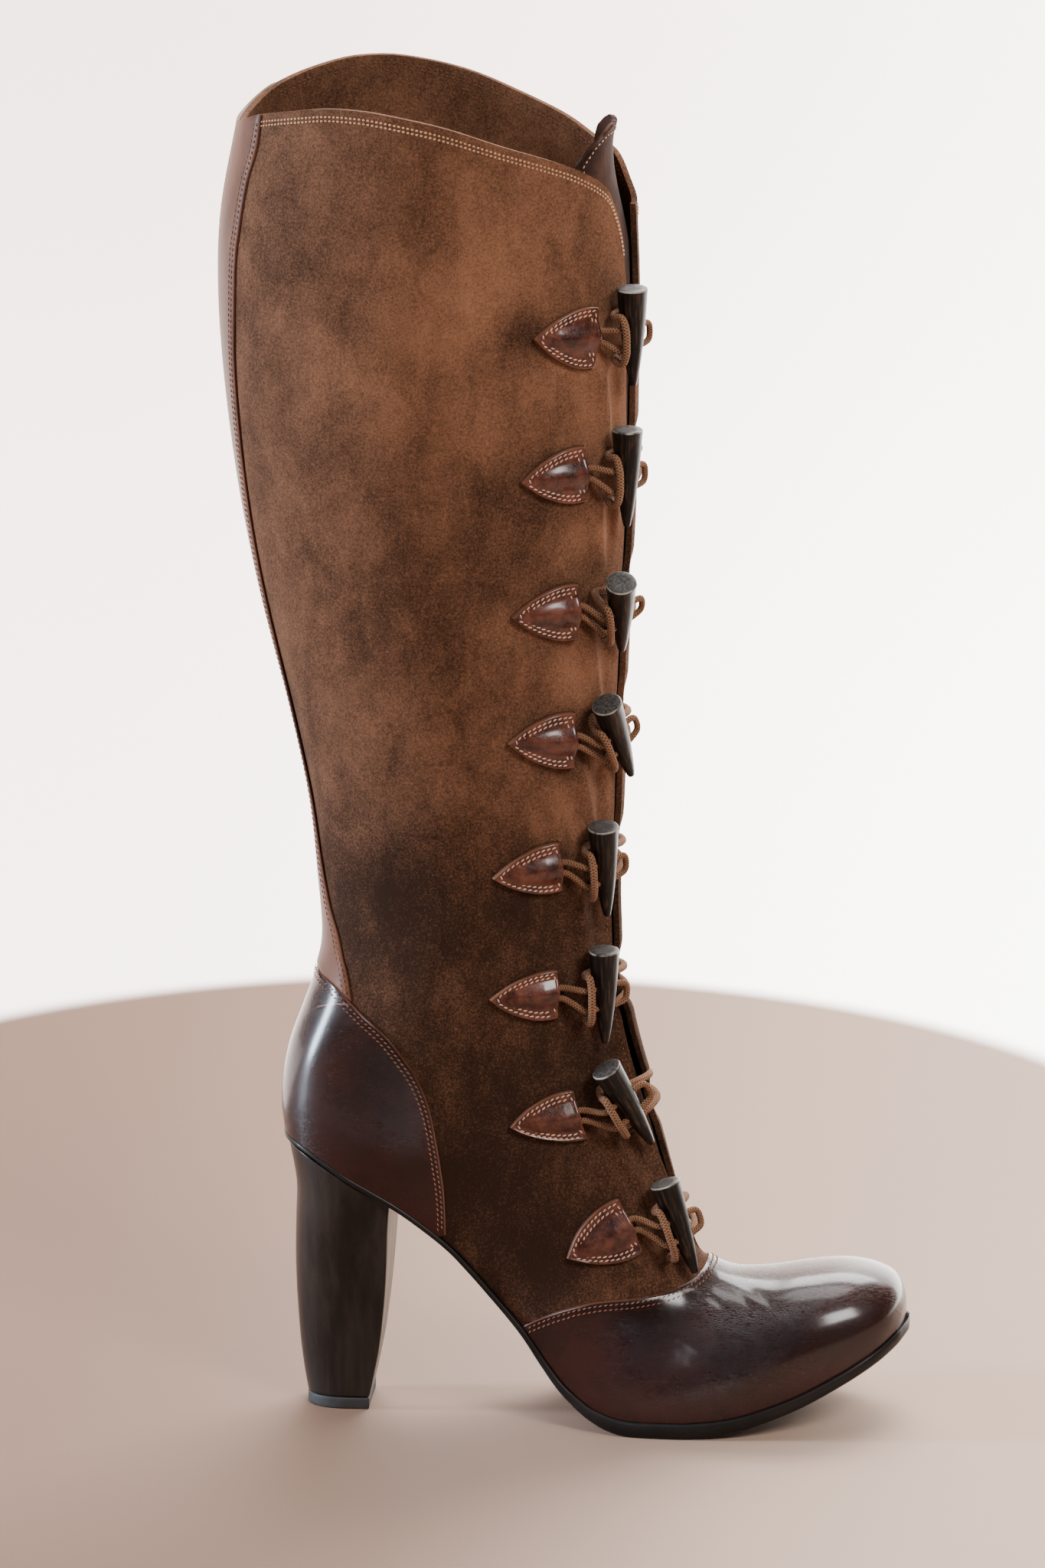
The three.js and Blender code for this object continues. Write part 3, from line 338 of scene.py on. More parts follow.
def piece(name, bm, finish, node=None, merge=2e-5, modifiers=()):
    if merge:
        bmesh.ops.remove_doubles(bm, verts=bm.verts, dist=merge)
    for f in bm.faces:
        f.smooth = True
    mesh = bpy.data.meshes.new(name)
    bm.to_mesh(mesh)
    bm.free()
    made = placed(name, mesh)
    mesh.materials.append(finish.material)
    for kind, settings in modifiers:
        modifier = made.modifiers.new(kind.title(), kind)
        for key, value in settings.items():
            setattr(modifier, key, value)
    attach(made, "root")
    if node:
        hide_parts(*([node] if isinstance(node, str) else node))
    return made


# Sums and products of two values become Math nodes
class Value:
    def __init__(self, finish, socket):
        self.finish, self.socket = finish, socket

    def math(self, operation, a, b=0.0):
        return self.finish.node("ShaderNodeMath", {"operation": operation}, {0: a, 1: b})

    def __add__(self, other):
        return self.math("ADD", self, other)

    def __sub__(self, other):
        return self.math("SUBTRACT", self, other)

    def __rsub__(self, other):
        return self.math("SUBTRACT", other, self)

    def __mul__(self, other):
        return self.math("MULTIPLY", self, other)

    def __truediv__(self, other):
        return self.math("DIVIDE", self, other)

    def __abs__(self):
        return self.math("ABSOLUTE", self)

    __radd__, __rmul__ = __add__, __mul__

    # 0 below low, 1 above high, smooth between
    def between(self, low, high):
        return self.finish.node("ShaderNodeMapRange", {"interpolation_type": "SMOOTHSTEP"},
                                {"Value": self, "From Min": low, "From Max": high})


class Finish:
    def __init__(self, name, **constants):
        self.material = bpy.data.materials.new(name)
        self.material.use_nodes = True
        self.tree = self.material.node_tree
        self.shader = self.tree.nodes["Principled BSDF"]
        for key, value in constants.items():
            self.shader.inputs[key.replace("_", " ").title().replace("Ior", "IOR")].default_value = value
        self.place = self.node("ShaderNodeTexCoord", out="Object")

    def node(self, kind, settings=None, sockets=None, out=0):
        made = self.tree.nodes.new(kind)
        for key, value in (settings or {}).items():
            setattr(made, key, value)
        for key, value in (sockets or {}).items():
            self.feed(made.inputs[key], value)
        return Value(self, made.outputs[out])

    def feed(self, socket, value):
        if isinstance(value, Value):
            self.tree.links.new(value.socket, socket)
        else:
            socket.default_value = value

    def wear(self, **sockets):
        for key, value in sockets.items():
            self.feed(self.shader.inputs[key.replace("_", " ").title()], value)

    def kept(self, name):
        return self.node("ShaderNodeAttribute", {"attribute_name": name}, out="Fac")

    # One axis of a place: 0 for x, 1 for y, 2 for z
    def axis(self, number, where=None):
        return self.node("ShaderNodeSeparateXYZ", {}, {0: where or self.place}, out=number)

    def noise(self, size, detail=3.0, rough=0.55, where=None, warp=0.0):
        return self.node("ShaderNodeTexNoise", {}, {"Vector": where or self.place, "Scale": 1 / size,
                         "Detail": detail, "Roughness": rough, "Distortion": warp})

    def cells(self, size, feature="F1", where=None):
        return self.node("ShaderNodeTexVoronoi", {"feature": feature},
                         {"Vector": where or self.place, "Scale": 1 / size})

    def stretched(self, by, turned=(0, 0, 0), where=None):
        return self.node("ShaderNodeMapping", {},
                         {"Vector": where or self.place, "Scale": by, "Rotation": turned})

    def mix(self, share, a, b):
        return self.node("ShaderNodeMix", {"data_type": "RGBA"}, {0: share, 6: a, 7: b}, out=2)

    def relief(self, height, depth, strength=1.0, over=None):
        sockets = {"Height": height, "Distance": depth, "Strength": strength}
        if over:
            sockets["Normal"] = over
        return self.node("ShaderNodeBump", {}, sockets)


# A colour given as the eye sees it, 0 to 255
def colour(red, green, blue):
    return (*(((c / 255 + 0.055) / 1.055) ** 2.4 if c > 10 else c / 3294.6 for c in (red, green, blue)), 1)


suede = Finish("suede", sheen_weight=0.10, sheen_roughness=0.45, sheen_tint=colour(190, 150, 120),
               specular_ior_level=0.1, roughness=0.95)
cloud = suede.noise(0.045, 4, 0.6)
smear = suede.noise(0.013, 4, 0.65, where=suede.stretched((1, 1, 0.6)), warp=0.4)
speck = suede.noise(0.0008, 2, 0.8)
# Tone of the nap, with the painted highlight and painted shade along the opening carried in the same value
nap = suede.kept("nap") + (cloud - 0.5) * 0.8 + (smear - 0.5) * 1.3 + (speck - 0.5) * 2.1
fuzz = suede.noise(0.0009, 2, 0.7)
suede.wear(base_color=suede.mix(nap.between(-1.1, 1.3), colour(40, 25, 17), colour(140, 96, 71)),
           normal=suede.relief(fuzz, 0.0004, 0.35, over=suede.relief(smear, 0.002, 0.25)))

# Light and dark strokes of the nap in side view: x, z, reach, amount
nap_patches = [
    (-0.025, 0.442, 0.016, 0.5), (0.008, 0.409, 0.014, 0.6), (-0.040, 0.425, 0.018, 0.3),
    (-0.011, 0.462, 0.02, 0.3), (-0.068, 0.403, 0.025, 0.25), (0.014, 0.382, 0.012, 0.5),
    (0.010, 0.341, 0.012, 0.45), (0.006, 0.288, 0.012, 0.5), (0.004, 0.235, 0.012, 0.55),
    (-0.028, 0.386, 0.022, 0.35), (-0.051, 0.256, 0.03, 0.15), (0.040, 0.078, 0.012, 0.4),
    (-0.100, 0.452, 0.02, -0.2), (-0.018, 0.355, 0.02, -0.3), (-0.051, 0.315, 0.03, -0.2),
    (-0.062, 0.198, 0.03, -0.35), (-0.034, 0.092, 0.03, -0.45), (-0.006, 0.067, 0.02, -0.4),
    (-0.014, 0.205, 0.02, -0.4), (0.012, 0.150, 0.02, -0.2), (-0.012, 0.420, 0.010, -0.5),
    (0.000, 0.265, 0.012, -0.4), (0.002, 0.320, 0.012, -0.35),
]
# Ridges (+) and troughs (-) at the flaps: from arc, z to arc, z, width, depth. Arc is measured from
# the edge of the slit, and negative numbers lie on the inner flap.
folds = [
    (14, 402, 12, 382, 3, 1.88), (9, 400, 8, 380, 2.5, -1.12), (22, 396, 17, 372, 4, -1),
    (16, 352, 13, 330, 3, 1.62), (10, 350, 9, 332, 2.5, -1), (24, 345, 19, 325, 5, -1.12),
    (17, 302, 12, 280, 3, 2.12), (26, 300, 18, 284, 4, -1.5), (9, 300, 8, 282, 2.5, -1),
    (18, 250, 13, 228, 3, 2.38), (26, 252, 19, 232, 4, -1.62), (9, 250, 8, 230, 2.5, -1.12),
    (16, 204, 13, 180, 3.2, 1.5), (24, 200, 18, 176, 4.5, -1.12), (16, 152, 13, 136, 3, 1.5),
    (26, 150, 19, 134, 4, -1), (17, 108, 13, 92, 3, 1.25), (9, 370, 6, 345, 3, 1),
    (30, 416, 44, 408, 5, -0.62), (30, 366, 44, 356, 5, -0.4), (40, 300, 70, 280, 8, 0.6),
    (30, 190, 62, 172, 7, -0.7), (44, 176, 80, 160, 7, 0.6), (60, 240, 90, 220, 9, 0.5),
    (-6, 400, -6, 380, 5, 1.6), (-6, 350, -6, 330, 5, 1.4), (-6, 300, -6, 282, 5, 1.5),
    (-6, 250, -6, 228, 5, 1.6), (-5, 205, -5, 180, 6, 2.2), (-5, 152, -5, 130, 7, 3.6),
    (-5, 108, -5, 90, 5, 1.6), (-5, 460, -5, 430, 7, 1.2),
]


def fold_height(arc, z):
    height = np.zeros(len(arc))
    for arc_a, z_a, arc_b, z_b, width, depth in np.array(folds) / 1000:
        run = np.array([arc_b - arc_a, z_b - z_a])
        t = np.clip(((arc - arc_a) * run[0] + (z - z_a) * run[1]) / (run @ run + 1e-12), 0, 1)
        apart = (arc - arc_a - t * run[0]) ** 2 + (z - z_a - t * run[1]) ** 2
        height += depth * np.exp(-apart / (width * width))
    return height


# The rows of faces above this place on the last run even with the rim, and those below it with the sole
low_on_shaft = 4.0
upper_columns, rows_at_rim, rows_below = 66, 46, 196
upper_rows = rows_at_rim + rows_below
top_share = rows_at_rim / upper_rows
all_places = np.linspace(low_on_shaft, feather_place[-1], 900)
around_it = np.stack([bare(all_places, np.full(len(all_places), turn)) for turn in (0.3, 1.5, 2.4, 3.1)])
gone = np.concatenate([[0], np.cumsum(np.linalg.norm(np.diff(around_it, axis=1), axis=2).mean(0))])
# The outer flap draws back towards the collar: from height, over height, share of the slit's width
drawn_back_rows = [(0.22, 0.12, 0.32), (0.37, 0.06, 0.34)]
flap_crowding = 1.45


def edge_of_slit(place, side):
    height = row_at(place)[..., 3]
    drawn_back = sum(share * np.clip((height - start) / over, 0, 1)
                     for start, over, share in drawn_back_rows)
    turn = slit_turn(place, -drawn_back if side > 0 else 1.0)
    return turn if side > 0 else turn - 2 * math.pi


def rule_of_flap(side):
    corner = outer_corner if side > 0 else inner_corner

    def turn_of(place, u):
        first = edge_of_slit(place, side)
        low = np.interp(place, feather_place, feather_turn)
        low = np.where(place < feather_place[0], 0.0, low) * side
        return first + (low - first) * u**flap_crowding

    def rule(u, v):
        def above_rim(place):
            p = bare(place, turn_of(place, u))
            return p[:, 2] > rim_height(p[:, 0], corner)

        low = halved(np.full(len(u), 0.0), np.full(len(u), low_on_shaft), above_rim, 30)
        top = low + (low_on_shaft - low) * np.minimum(v / top_share, 1)
        lower = np.interp(np.clip((v - top_share) / (1 - top_share), 0, 1) * gone[-1], gone, all_places)
        place = np.where(v <= top_share, top, lower)
        turn = turn_of(place, u)
        at, out = skin(place, turn)
        first = bare(place, edge_of_slit(place, side))
        arc = np.linalg.norm(at - first, axis=1)
        at = at + out * fold_height(arc * side, at[:, 2])[:, None]
        value = np.zeros(len(u))
        for x, z, reach, amount in nap_patches:
            value += amount * np.exp(-((at[:, 0] - x) ** 2 + (at[:, 2] - z) ** 2) / reach**2)
        # The suede's colour is darker down the ankle and a little lighter on the foot. Along the opening the
        # outer flap is painted pale, a painted highlight on its edge, and the inner flap is painted dark,
        # painted shade where it lies under the gap.
        z = at[:, 2]
        dark_ankle = 0.5 * np.clip((0.29 - z) / 0.14, 0, 1)
        pale_foot = 0.2 * np.clip((0.12 - z) / 0.05, 0, 1)
        value -= 0.2 + dark_ankle - pale_foot
        near_edge = np.exp(-((arc / 0.013) ** 2))
        if side > 0:
            value += near_edge * 0.25 * np.clip((z - 0.10) / 0.20, 0, 1)
        else:
            value += -0.35 * near_edge * np.clip((z - 0.25) / 0.1, 0, 1)
        return {"at": at, "out": out, "nap": value}

    return rule


bm = bmesh.new()
for side in (1, -1):
    laid(bm, upper_columns, upper_rows, rule_of_flap(side))
piece("upper_shell", bm, suede, "upper", merge=1e-4, modifiers=sheet(wall, 0.0008, 3))

# Vamp and counter. Smooth oxblood leather, polished, 1 mm thick, lasted over the suede at the toe and
# the heel and sewn down with two rows of thread. The vamp creases where the toes bend.
overlay, skived = 0.0010, 0.0005
smooth_leather = Finish("smooth_leather", coat_weight=0.55, coat_roughness=0.16, specular_ior_level=0.1)
jitter = smooth_leather.node("ShaderNodeTexNoise", {}, {"Vector": smooth_leather.place, "Scale": 400}, out=1)
jitter = smooth_leather.node("ShaderNodeVectorMath", {"operation": "SCALE"}, {0: jitter, "Scale": 0.0012})
pebble = smooth_leather.cells(0.0009, "SMOOTH_F1", where=smooth_leather.node(
    "ShaderNodeVectorMath", {"operation": "ADD"}, {0: smooth_leather.place, 1: jitter}))
worn = smooth_leather.kept("wrinkle")
across_foot = smooth_leather.stretched((1, 1, 2.8), (0, 0.5, 0))
lines = smooth_leather.noise(0.0022, 4, 0.6, where=across_foot, warp=0.6)
crease = abs(lines * 2 - 1).between(0.0, 0.25) * -1 + 1
polish = smooth_leather.noise(0.03, 4, 0.6)
scuff = smooth_leather.noise(0.006, 5, 0.7, where=smooth_leather.stretched((1, 1, 3)))
raw_edge = 1 - smooth_leather.kept("edge").between(0.0003, 0.0007)
# One long crease near the top of the counter
from_crease = smooth_leather.axis(0) + 0.0842
off_crease = smooth_leather.axis(2) - 0.1592 - from_crease * 0.3 + from_crease * from_crease * 22
long_crease = (1 - abs(off_crease).between(0.0002, 0.0007)) * (1 - abs(from_crease).between(0.004, 0.0075))
dyed = smooth_leather.mix(polish.between(0.3, 0.7), colour(30, 12, 10), colour(48, 20, 16))
smooth_leather.wear(
    base_color=smooth_leather.mix(long_crease * 0.5, smooth_leather.mix(raw_edge, dyed, colour(92, 52, 37)),
                                  colour(150, 116, 104)),
    roughness=(scuff - 0.5) * 0.06 + 0.26 + worn * 0.05 + raw_edge * 0.3,
    normal=smooth_leather.relief(crease * worn + long_crease, 0.0010, 1.0, over=smooth_leather.relief(
        pebble, 0.00012, 0.4, over=smooth_leather.relief(polish, 0.004, 0.08))))

# Seams in side view: along, up
vamp_seam = [
    (0.320, 0.160), (0.372, 0.340), (0.391, 0.375), (0.441, 0.433), (0.506, 0.476), (0.575, 0.490),
    (0.618, 0.503), (0.650, 0.523), (0.670, 0.547), (0.680, 0.575), (0.686, 0.640),
]
counter_seam = [
    (-0.060, 1.680), (0.048, 1.645), (0.070, 1.625), (0.095, 1.600), (0.134, 1.531), (0.173, 1.462),
    (0.203, 1.381), (0.226, 1.302), (0.244, 1.197), (0.255, 1.072), (0.262, 0.966), (0.268, 0.832),
    (0.271, 0.500),
]


def in_boot(table):
    return [(seat_x + along * foot_length, up * heel_height) for along, up in table]


# Both edges of an overlay, from its outer end on the sole round to its inner end
def overlay_edges(seam, at_toe, count):
    place, turn = over_last(in_boot(seam))
    sole = np.interp(place, feather_place, feather_turn, left=0.0)
    above = turn > sole
    place, turn = place[above], turn[above]
    corner_place = place[0] if at_toe else place[-1]
    corner = (corner_place, np.interp(corner_place, feather_place, feather_turn))
    keep = feather_place > corner_place if at_toe else feather_place < corner_place
    if at_toe:
        foot = [np.concatenate([[c], f[keep]]) for c, f in zip(corner, (feather_place, feather_turn))]
    else:
        foot = [np.concatenate([f[keep], [c]])[::-1] for c, f in zip(corner, (feather_place, feather_turn))]
        place, turn = place[::-1], turn[::-1]
    half = count // 2 + 1
    edges = []
    for places, turns in ((place, turn), foot):
        places, turns = spaced(places, turns, half)
        far = 2 * math.pi - turns if at_toe else -turns
        edges.append((np.concatenate([places, places[-2::-1]]), np.concatenate([turns, far[-2::-1]])))
    return edges


def rule_of_overlay(edges, extra):
    (seam_place, seam_turn), (foot_place, foot_turn) = edges
    along = np.linspace(0, 1, len(seam_place))

    def where(u, v):
        u = 0.001 + 0.998 * u
        a_place, a_turn = np.interp(u, along, seam_place), np.interp(u, along, seam_turn)
        b_place, b_turn = np.interp(u, along, foot_place), np.interp(u, along, foot_turn)
        return a_place + (b_place - a_place) * v, a_turn + (b_turn - a_turn) * v

    def rule(u, v):
        place, turn = where(u, v)
        at, out = skin(place, turn, clearance + overlay)
        seam_at, _ = skin(*where(u, np.zeros(len(u))), clearance + overlay)
        edge = np.linalg.norm(at - seam_at, axis=1)
        at = at - out * (skived * np.exp(-edge / 0.0007))[:, None]
        kept = {"at": at, "out": out, "edge": edge, "wrinkle": np.zeros(len(u))}
        extra(kept)
        return kept

    return rule, where


# Creases of worn leather in side view: from x, z to x, z, width, depth, in mm from the back of the seat
def creased(kept, table, shown):
    x, z = (kept["at"][:, 0] - seat_x) * 1000, kept["at"][:, 2] * 1000
    height = np.zeros(len(x))
    for x_a, z_a, x_b, z_b, width, depth in table:
        run = (x_b - x_a, z_b - z_a)
        t = np.clip(((x - x_a) * run[0] + (z - z_a) * run[1]) / (run[0] ** 2 + run[1] ** 2), 0, 1)
        bow = np.sin(t * math.pi) * 1.2
        apart = ((x - x_a - t * run[0]) ** 2 + (z - z_a - t * run[1] - bow) ** 2)
        height += depth * np.exp(-apart / width**2) * np.sin(np.clip(t, 0.04, 0.96) * math.pi) ** 0.5
    kept["at"] = kept["at"] + kept["out"] * (height / 1000)[:, None]
    for x_a, z_a, reach, amount in shown:
        kept["wrinkle"] += amount * np.exp(-((x - x_a) ** 2 + (z - z_a) ** 2) / reach**2)
    kept["wrinkle"] = np.clip(kept["wrinkle"] + 0.04, 0, 1)


vamp_creases = [
    (150, 52, 166, 46, 1.3, -0.25), (158, 54, 176, 47, 1.2, -0.225), (166, 54, 186, 46, 1.3, -0.2),
    (148, 44, 168, 36, 1.6, -0.2), (160, 40, 184, 34, 1.6, 0.175), (140, 40, 156, 33, 1.5, 0.15),
    (174, 50, 192, 40, 1.8, 0.175), (130, 36, 150, 30, 1.8, -0.15), (152, 30, 176, 26, 2.0, -0.125),
]
counter_creases = [
    (30, 140, 48, 142, 1.2, -0.04), (30, 132, 46, 136, 1.0, -0.035), (26, 124, 44, 130, 1.2, -0.04),
    (42, 118, 60, 126, 1.0, 0.045), (24, 148, 40, 150, 1.4, 0.03), (20, 116, 38, 122, 1.4, 0.03),
]
# Where the fine lines of wear show: x, z, reach, in mm, and amount
vamp_wear = [(160, 46, 20, 0.9), (182, 44, 16, 0.6), (140, 34, 14, 0.4)]
counter_wear = [(36, 136, 15, 0.9), (48, 120, 10, 0.5)]
overlay_sheet = sheet(overlay + clearance / 2, 0.0003, 2)
seams = {}
for name, seam, at_toe, count, deep, table, shown in (
        ("vamp", vamp_seam, True, 300, 110, vamp_creases, vamp_wear),
        ("counter", counter_seam, False, 240, 100, counter_creases, counter_wear)):
    edges = overlay_edges(seam, at_toe, count)
    rule, seams[name] = rule_of_overlay(edges, lambda kept: creased(kept, table, shown))
    bm = bmesh.new()
    laid(bm, count, deep, rule)
    piece(name + "_leather", bm, smooth_leather, name, merge=0, modifiers=overlay_sheet)

# Back strap. A strip of lighter smooth leather over the back seam, wide at the collar, narrow at the
# calf and wide again above the counter, sewn along both edges.
strap_leather = Finish("strap_leather", coat_weight=0.06, coat_roughness=0.25, specular_ior_level=0.1)
strap_grain = strap_leather.cells(0.0010, "SMOOTH_F1")
strap_tone = strap_leather.noise(0.02, 4, 0.6, where=strap_leather.stretched((1, 1, 0.4)))
strap_leather.wear(
    base_color=strap_leather.mix(strap_tone.between(0.3, 0.7), colour(66, 38, 27), colour(104, 66, 49)),
    roughness=strap_tone * 0.2 + 0.36, normal=strap_leather.relief(strap_grain, 0.00015, 0.4))
# up, deep: shares of boot height and of calf depth from the back of the leg
strap_rows = [(1.0443, 0.0580), (0.9710, 0.0658), (0.9342, 0.0572), (0.8983, 0.0558), (0.8750, 0.0494),
              (0.8271, 0.0445), (0.7833, 0.0366), (0.7183, 0.0274), (0.6553, 0.0193), (0.5938, 0.0150),
              (0.5222, 0.0080), (0.4669, 0.0080), (0.4218, 0.0170), (0.3887, 0.0291), (0.3678, 0.0455),
              (0.3512, 0.0623), (0.3354, 0.0864), (0.2867, 0.1674)]
back_line = np.array([(z, x) for x, z in rows[:17, :2]])[::-1]
strap_line = [(np.interp(up * boot_height, back_line[:, 0], back_line[:, 1]) + deep * calf_depth,
               up * boot_height) for up, deep in strap_rows]
strap_place, strap_turn = over_last(strap_line)
counter_top = smooth_line(in_boot(counter_seam))


strap_lowest_place = 14.0
under_rim, over_counter = 0.0004, 0.0005


def strap_where(u, v):
    def turn_of(place):
        return np.interp(place, strap_place, strap_turn) * (1 - 2 * u)

    ends = []
    for line_height in (lambda x: rim_height(x, outer_corner) - under_rim,
                        lambda x: np.interp(x, counter_top[:, 0], counter_top[:, 1]) + over_counter):
        def above_line(place):
            p = bare(place, turn_of(place))
            return p[:, 2] > line_height(p[:, 0])

        ends.append(halved(np.full(len(u), 0.0), np.full(len(u), strap_lowest_place), above_line, 30))
    place = ends[0] + (ends[1] - ends[0]) * v
    return place, turn_of(place)


def rule_of_strap(u, v):
    at, out = skin(*strap_where(u, v), clearance + overlay)
    side_at, _ = skin(*strap_where(np.round(u), v), clearance + overlay)
    edge = np.linalg.norm(at - side_at, axis=1)
    return {"at": at - out * (skived * np.exp(-edge / 0.0007))[:, None], "out": out}


bm = bmesh.new()
laid(bm, 40, 150, rule_of_strap)
piece("back_strap_leather", bm, strap_leather, "back_strap", merge=0,
      modifiers=overlay_sheet)

# Tongue. One soft sheet of suede behind the slit, sewn in at the throat. Its free top rolls back over
# the opening and shows its stitched edge.
tongue_suede = Finish("tongue_suede", sheen_weight=0.05, sheen_roughness=0.5, roughness=0.95,
                      specular_ior_level=0.05)
tongue_tone = tongue_suede.noise(0.012, 4, 0.6)
# The tongue is painted darker than its own brown suede, painted shade, so that it shows as the deep shade in
# the gap between the flaps
tongue_suede.wear(
    base_color=tongue_suede.mix(tongue_tone.between(0.25, 0.75), colour(30, 16, 11), colour(68, 41, 30)),
    normal=tongue_suede.relief(tongue_suede.noise(0.0009, 2, 0.7), 0.0003, 0.4))
# up, left, right: shares of the way from the throat to the rim and of calf width
tongue_rows = np.array([
    (-0.0180, -0.115, 0.115), (0.0200, -0.145, 0.145), (0.1000, -0.18, 0.175), (0.2500, -0.21, 0.175),
    (0.7000, -0.25, 0.185), (0.9420, -0.24, 0.195), (0.9570, -0.18, 0.18), (0.9650, -0.12, 0.15),
    (0.9690, -0.07, 0.11)])
tongue_thickness, tongue_top, tongue_foot = 0.0019, 0.969, -0.018
rows_down_to_vamp = 23


# across 0 to 1 from the outer to the inner edge, up from the throat, set in from the edges
def tongue_at(across, up, inset=0.0, height=0.0):
    z = throat_height + up * (boot_height - throat_height)
    left, right = (np.interp(up, tongue_rows[:, 0], tongue_rows[:, k]) * calf_width for k in (1, 2))
    y = left + inset + (right - left - 2 * inset) * across
    place = np.interp(-z, -rows[:rows_down_to_vamp, 3], np.arange(rows_down_to_vamp))
    r = row_at(place)
    share = np.clip((r[:, 8] - y) / (r[:, 4] - wall), -0.98, 0.98)
    turn = math.pi - np.arcsin(share)
    at, out = skin(place, turn, height - wall - clearance)
    set_back = np.clip((up - 0.86) / 0.08, 0, 1)
    curl = np.clip((up - 0.945) / 0.024, 0, 1)
    shift = -0.0045 * set_back**2 * (3 - 2 * set_back) + 0.002 * curl**2
    return at + np.stack([shift, np.zeros(len(y)), np.zeros(len(y))], 1), out


def rule_of_tongue(u, v):
    at, out = tongue_at(u, tongue_top - v * (tongue_top - tongue_foot))
    return {"at": at, "out": out}


bm = bmesh.new()
laid(bm, 36, 260, rule_of_tongue)
piece("tongue_sheet", bm, tongue_suede, "tongue", merge=0,
      modifiers=sheet(tongue_thickness, 0.0006, 3))

# Outsole. Black-brown leather with a trimmed and inked edge, 5.8 mm under the ball and 2 mm through
# the waist, cemented under the lasted upper.
sole_rest = clearance + overlay
margin_rows = [(0.0, 0.0002), (0.20, 0.0002), (0.28, 0.0005), (0.36, 0.0009), (0.44, 0.0012), (1.3, 0.0012)]
sole_leather = Finish("sole_leather", coat_weight=0.1, coat_roughness=0.2, specular_ior_level=0.2)
sole_tone = sole_leather.noise(0.010, 4, 0.6, where=sole_leather.stretched((0.5, 1, 1)))
sole_leather.wear(
    base_color=sole_leather.mix(sole_tone.between(0.3, 0.75), colour(11, 8, 7), colour(24, 18, 15)),
    roughness=sole_tone * 0.25 + 0.36,
    normal=sole_leather.relief(sole_leather.noise(0.0012, 3, 0.6), 0.0002, 0.3))
sole_columns = 200
sole_place, sole_turn = spaced(feather_place, feather_turn, sole_columns + 1)
sole_under = smooth_line(sole_line(0, 0))
sole_over = smooth_line(sole_line(1, 0))
# across, level, inset of the sole's own section, once round
sole_section = np.array([
    (0, 1, 0.5), (0.2, 1, 0), (0.5, 1, 0), (0.8, 1, 0), (1, 1, 0.5), (1, 0.88, 0.1), (1, 0.5, 0),
    (1, 0.14, 0.1), (1, 0, 0.7), (0.8, 0, 0), (0.5, 0, 0), (0.2, 0, 0), (0, 0, 0.7), (0, 0.14, 0.1),
    (0, 0.5, 0), (0, 0.88, 0.1), (0, 1, 0.5)])


def rule_of_sole(u, v):
    at_row = v * (len(sole_section) - 1)
    across, level, inset = (np.interp(at_row, np.arange(len(sole_section)), part) for part in sole_section.T)
    along = np.linspace(0, 1, sole_columns + 1)
    place, turn = np.interp(u, along, sole_place), np.interp(u, along, sole_turn)
    ends = []
    for side in (1, -1):
        base, out = skin(place, turn * side)
        flat = unit(out * np.array([1, 1, 0]))
        margin = np.interp((base[:, 0] - seat_x) / foot_length, *np.array(margin_rows).T)
        ends.append(base + flat * (sole_rest + margin - inset / 1000)[:, None])
    at = ends[0] + (ends[1] - ends[0]) * across[:, None]
    over = np.interp(at[:, 0], sole_over[:, 0], sole_over[:, 1])
    under = np.interp(at[:, 0], sole_under[:, 0], sole_under[:, 1])
    at[:, 2] = np.maximum(under, 0) + (over - under) * level
    return {"at": at}


bm = bmesh.new()
laid(bm, sole_columns, len(sole_section) - 1, rule_of_sole)
bmesh.ops.remove_doubles(bm, verts=bm.verts, dist=2e-5)
bmesh.ops.recalc_face_normals(bm, faces=bm.faces)
piece("outsole_leather", bm, sole_leather, "outsole")

# Insole. A thin leather sock glued on the board inside, pale brown and worn smooth.
insole_leather = Finish("insole_leather")
insole_tone = insole_leather.noise(0.015, 4, 0.6)
insole_leather.wear(base_color=insole_leather.mix(insole_tone, colour(84, 58, 42), colour(120, 88, 66)),
                    roughness=insole_tone * 0.2 + 0.6,
                    normal=insole_leather.relief(insole_leather.noise(0.001, 3, 0.6), 0.0002, 0.3))
insole_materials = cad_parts["insole"].data.materials
insole_materials.clear()
insole_materials.append(insole_leather.material)

# Heel. A tall block covered in the same dark leather, drawn in at the tip and pared away at the back,
# with a square breast. Its wearing piece is grey rubber.
heel_leather = Finish("heel_leather", coat_weight=0.2, coat_roughness=0.14, specular_ior_level=0.2)
heel_tone = heel_leather.noise(0.006, 4, 0.6, where=heel_leather.stretched((1, 1, 0.12)))
heel_leather.wear(
    base_color=heel_leather.mix(heel_tone.between(0.3, 0.75), colour(24, 19, 17), colour(44, 36, 32)),
    roughness=heel_tone * 0.22 + 0.26,
    normal=heel_leather.relief(heel_leather.cells(0.0010, "SMOOTH_F1"), 0.0001, 0.3))
# up, back, breast, half: shares of heel height, foot length and seat width
heel_rows = [
    (0.043, 0.0350, 0.1385, 0.226), (0.130, 0.0285, 0.1465, 0.232), (0.245, 0.0225, 0.1560, 0.245),
    (0.420, 0.0175, 0.1650, 0.292), (0.570, 0.0160, 0.1700, 0.347), (0.720, 0.0175, 0.1735, 0.411),
    (0.820, 0.0190, 0.1780, 0.452), (0.900, 0.0150, 0.1850, 0.473), (1.050, 0.0020, 0.1950, 0.484),
]
heel_fine = smooth_line(heel_rows)
lift_height = 0.0044
# The rounded back takes this much of the way round, and its curve ends at this share of the depth
round_share, shoulder_depth = 0.68, 0.62
# The flat sides and breast: way from the shoulder, depth, width, with a turned corner
flat_rows = np.array([(0, 0, 1), (0.9, 0.965, 0.985), (1.05, 1, 0.93), (2, 0.985, 0)])


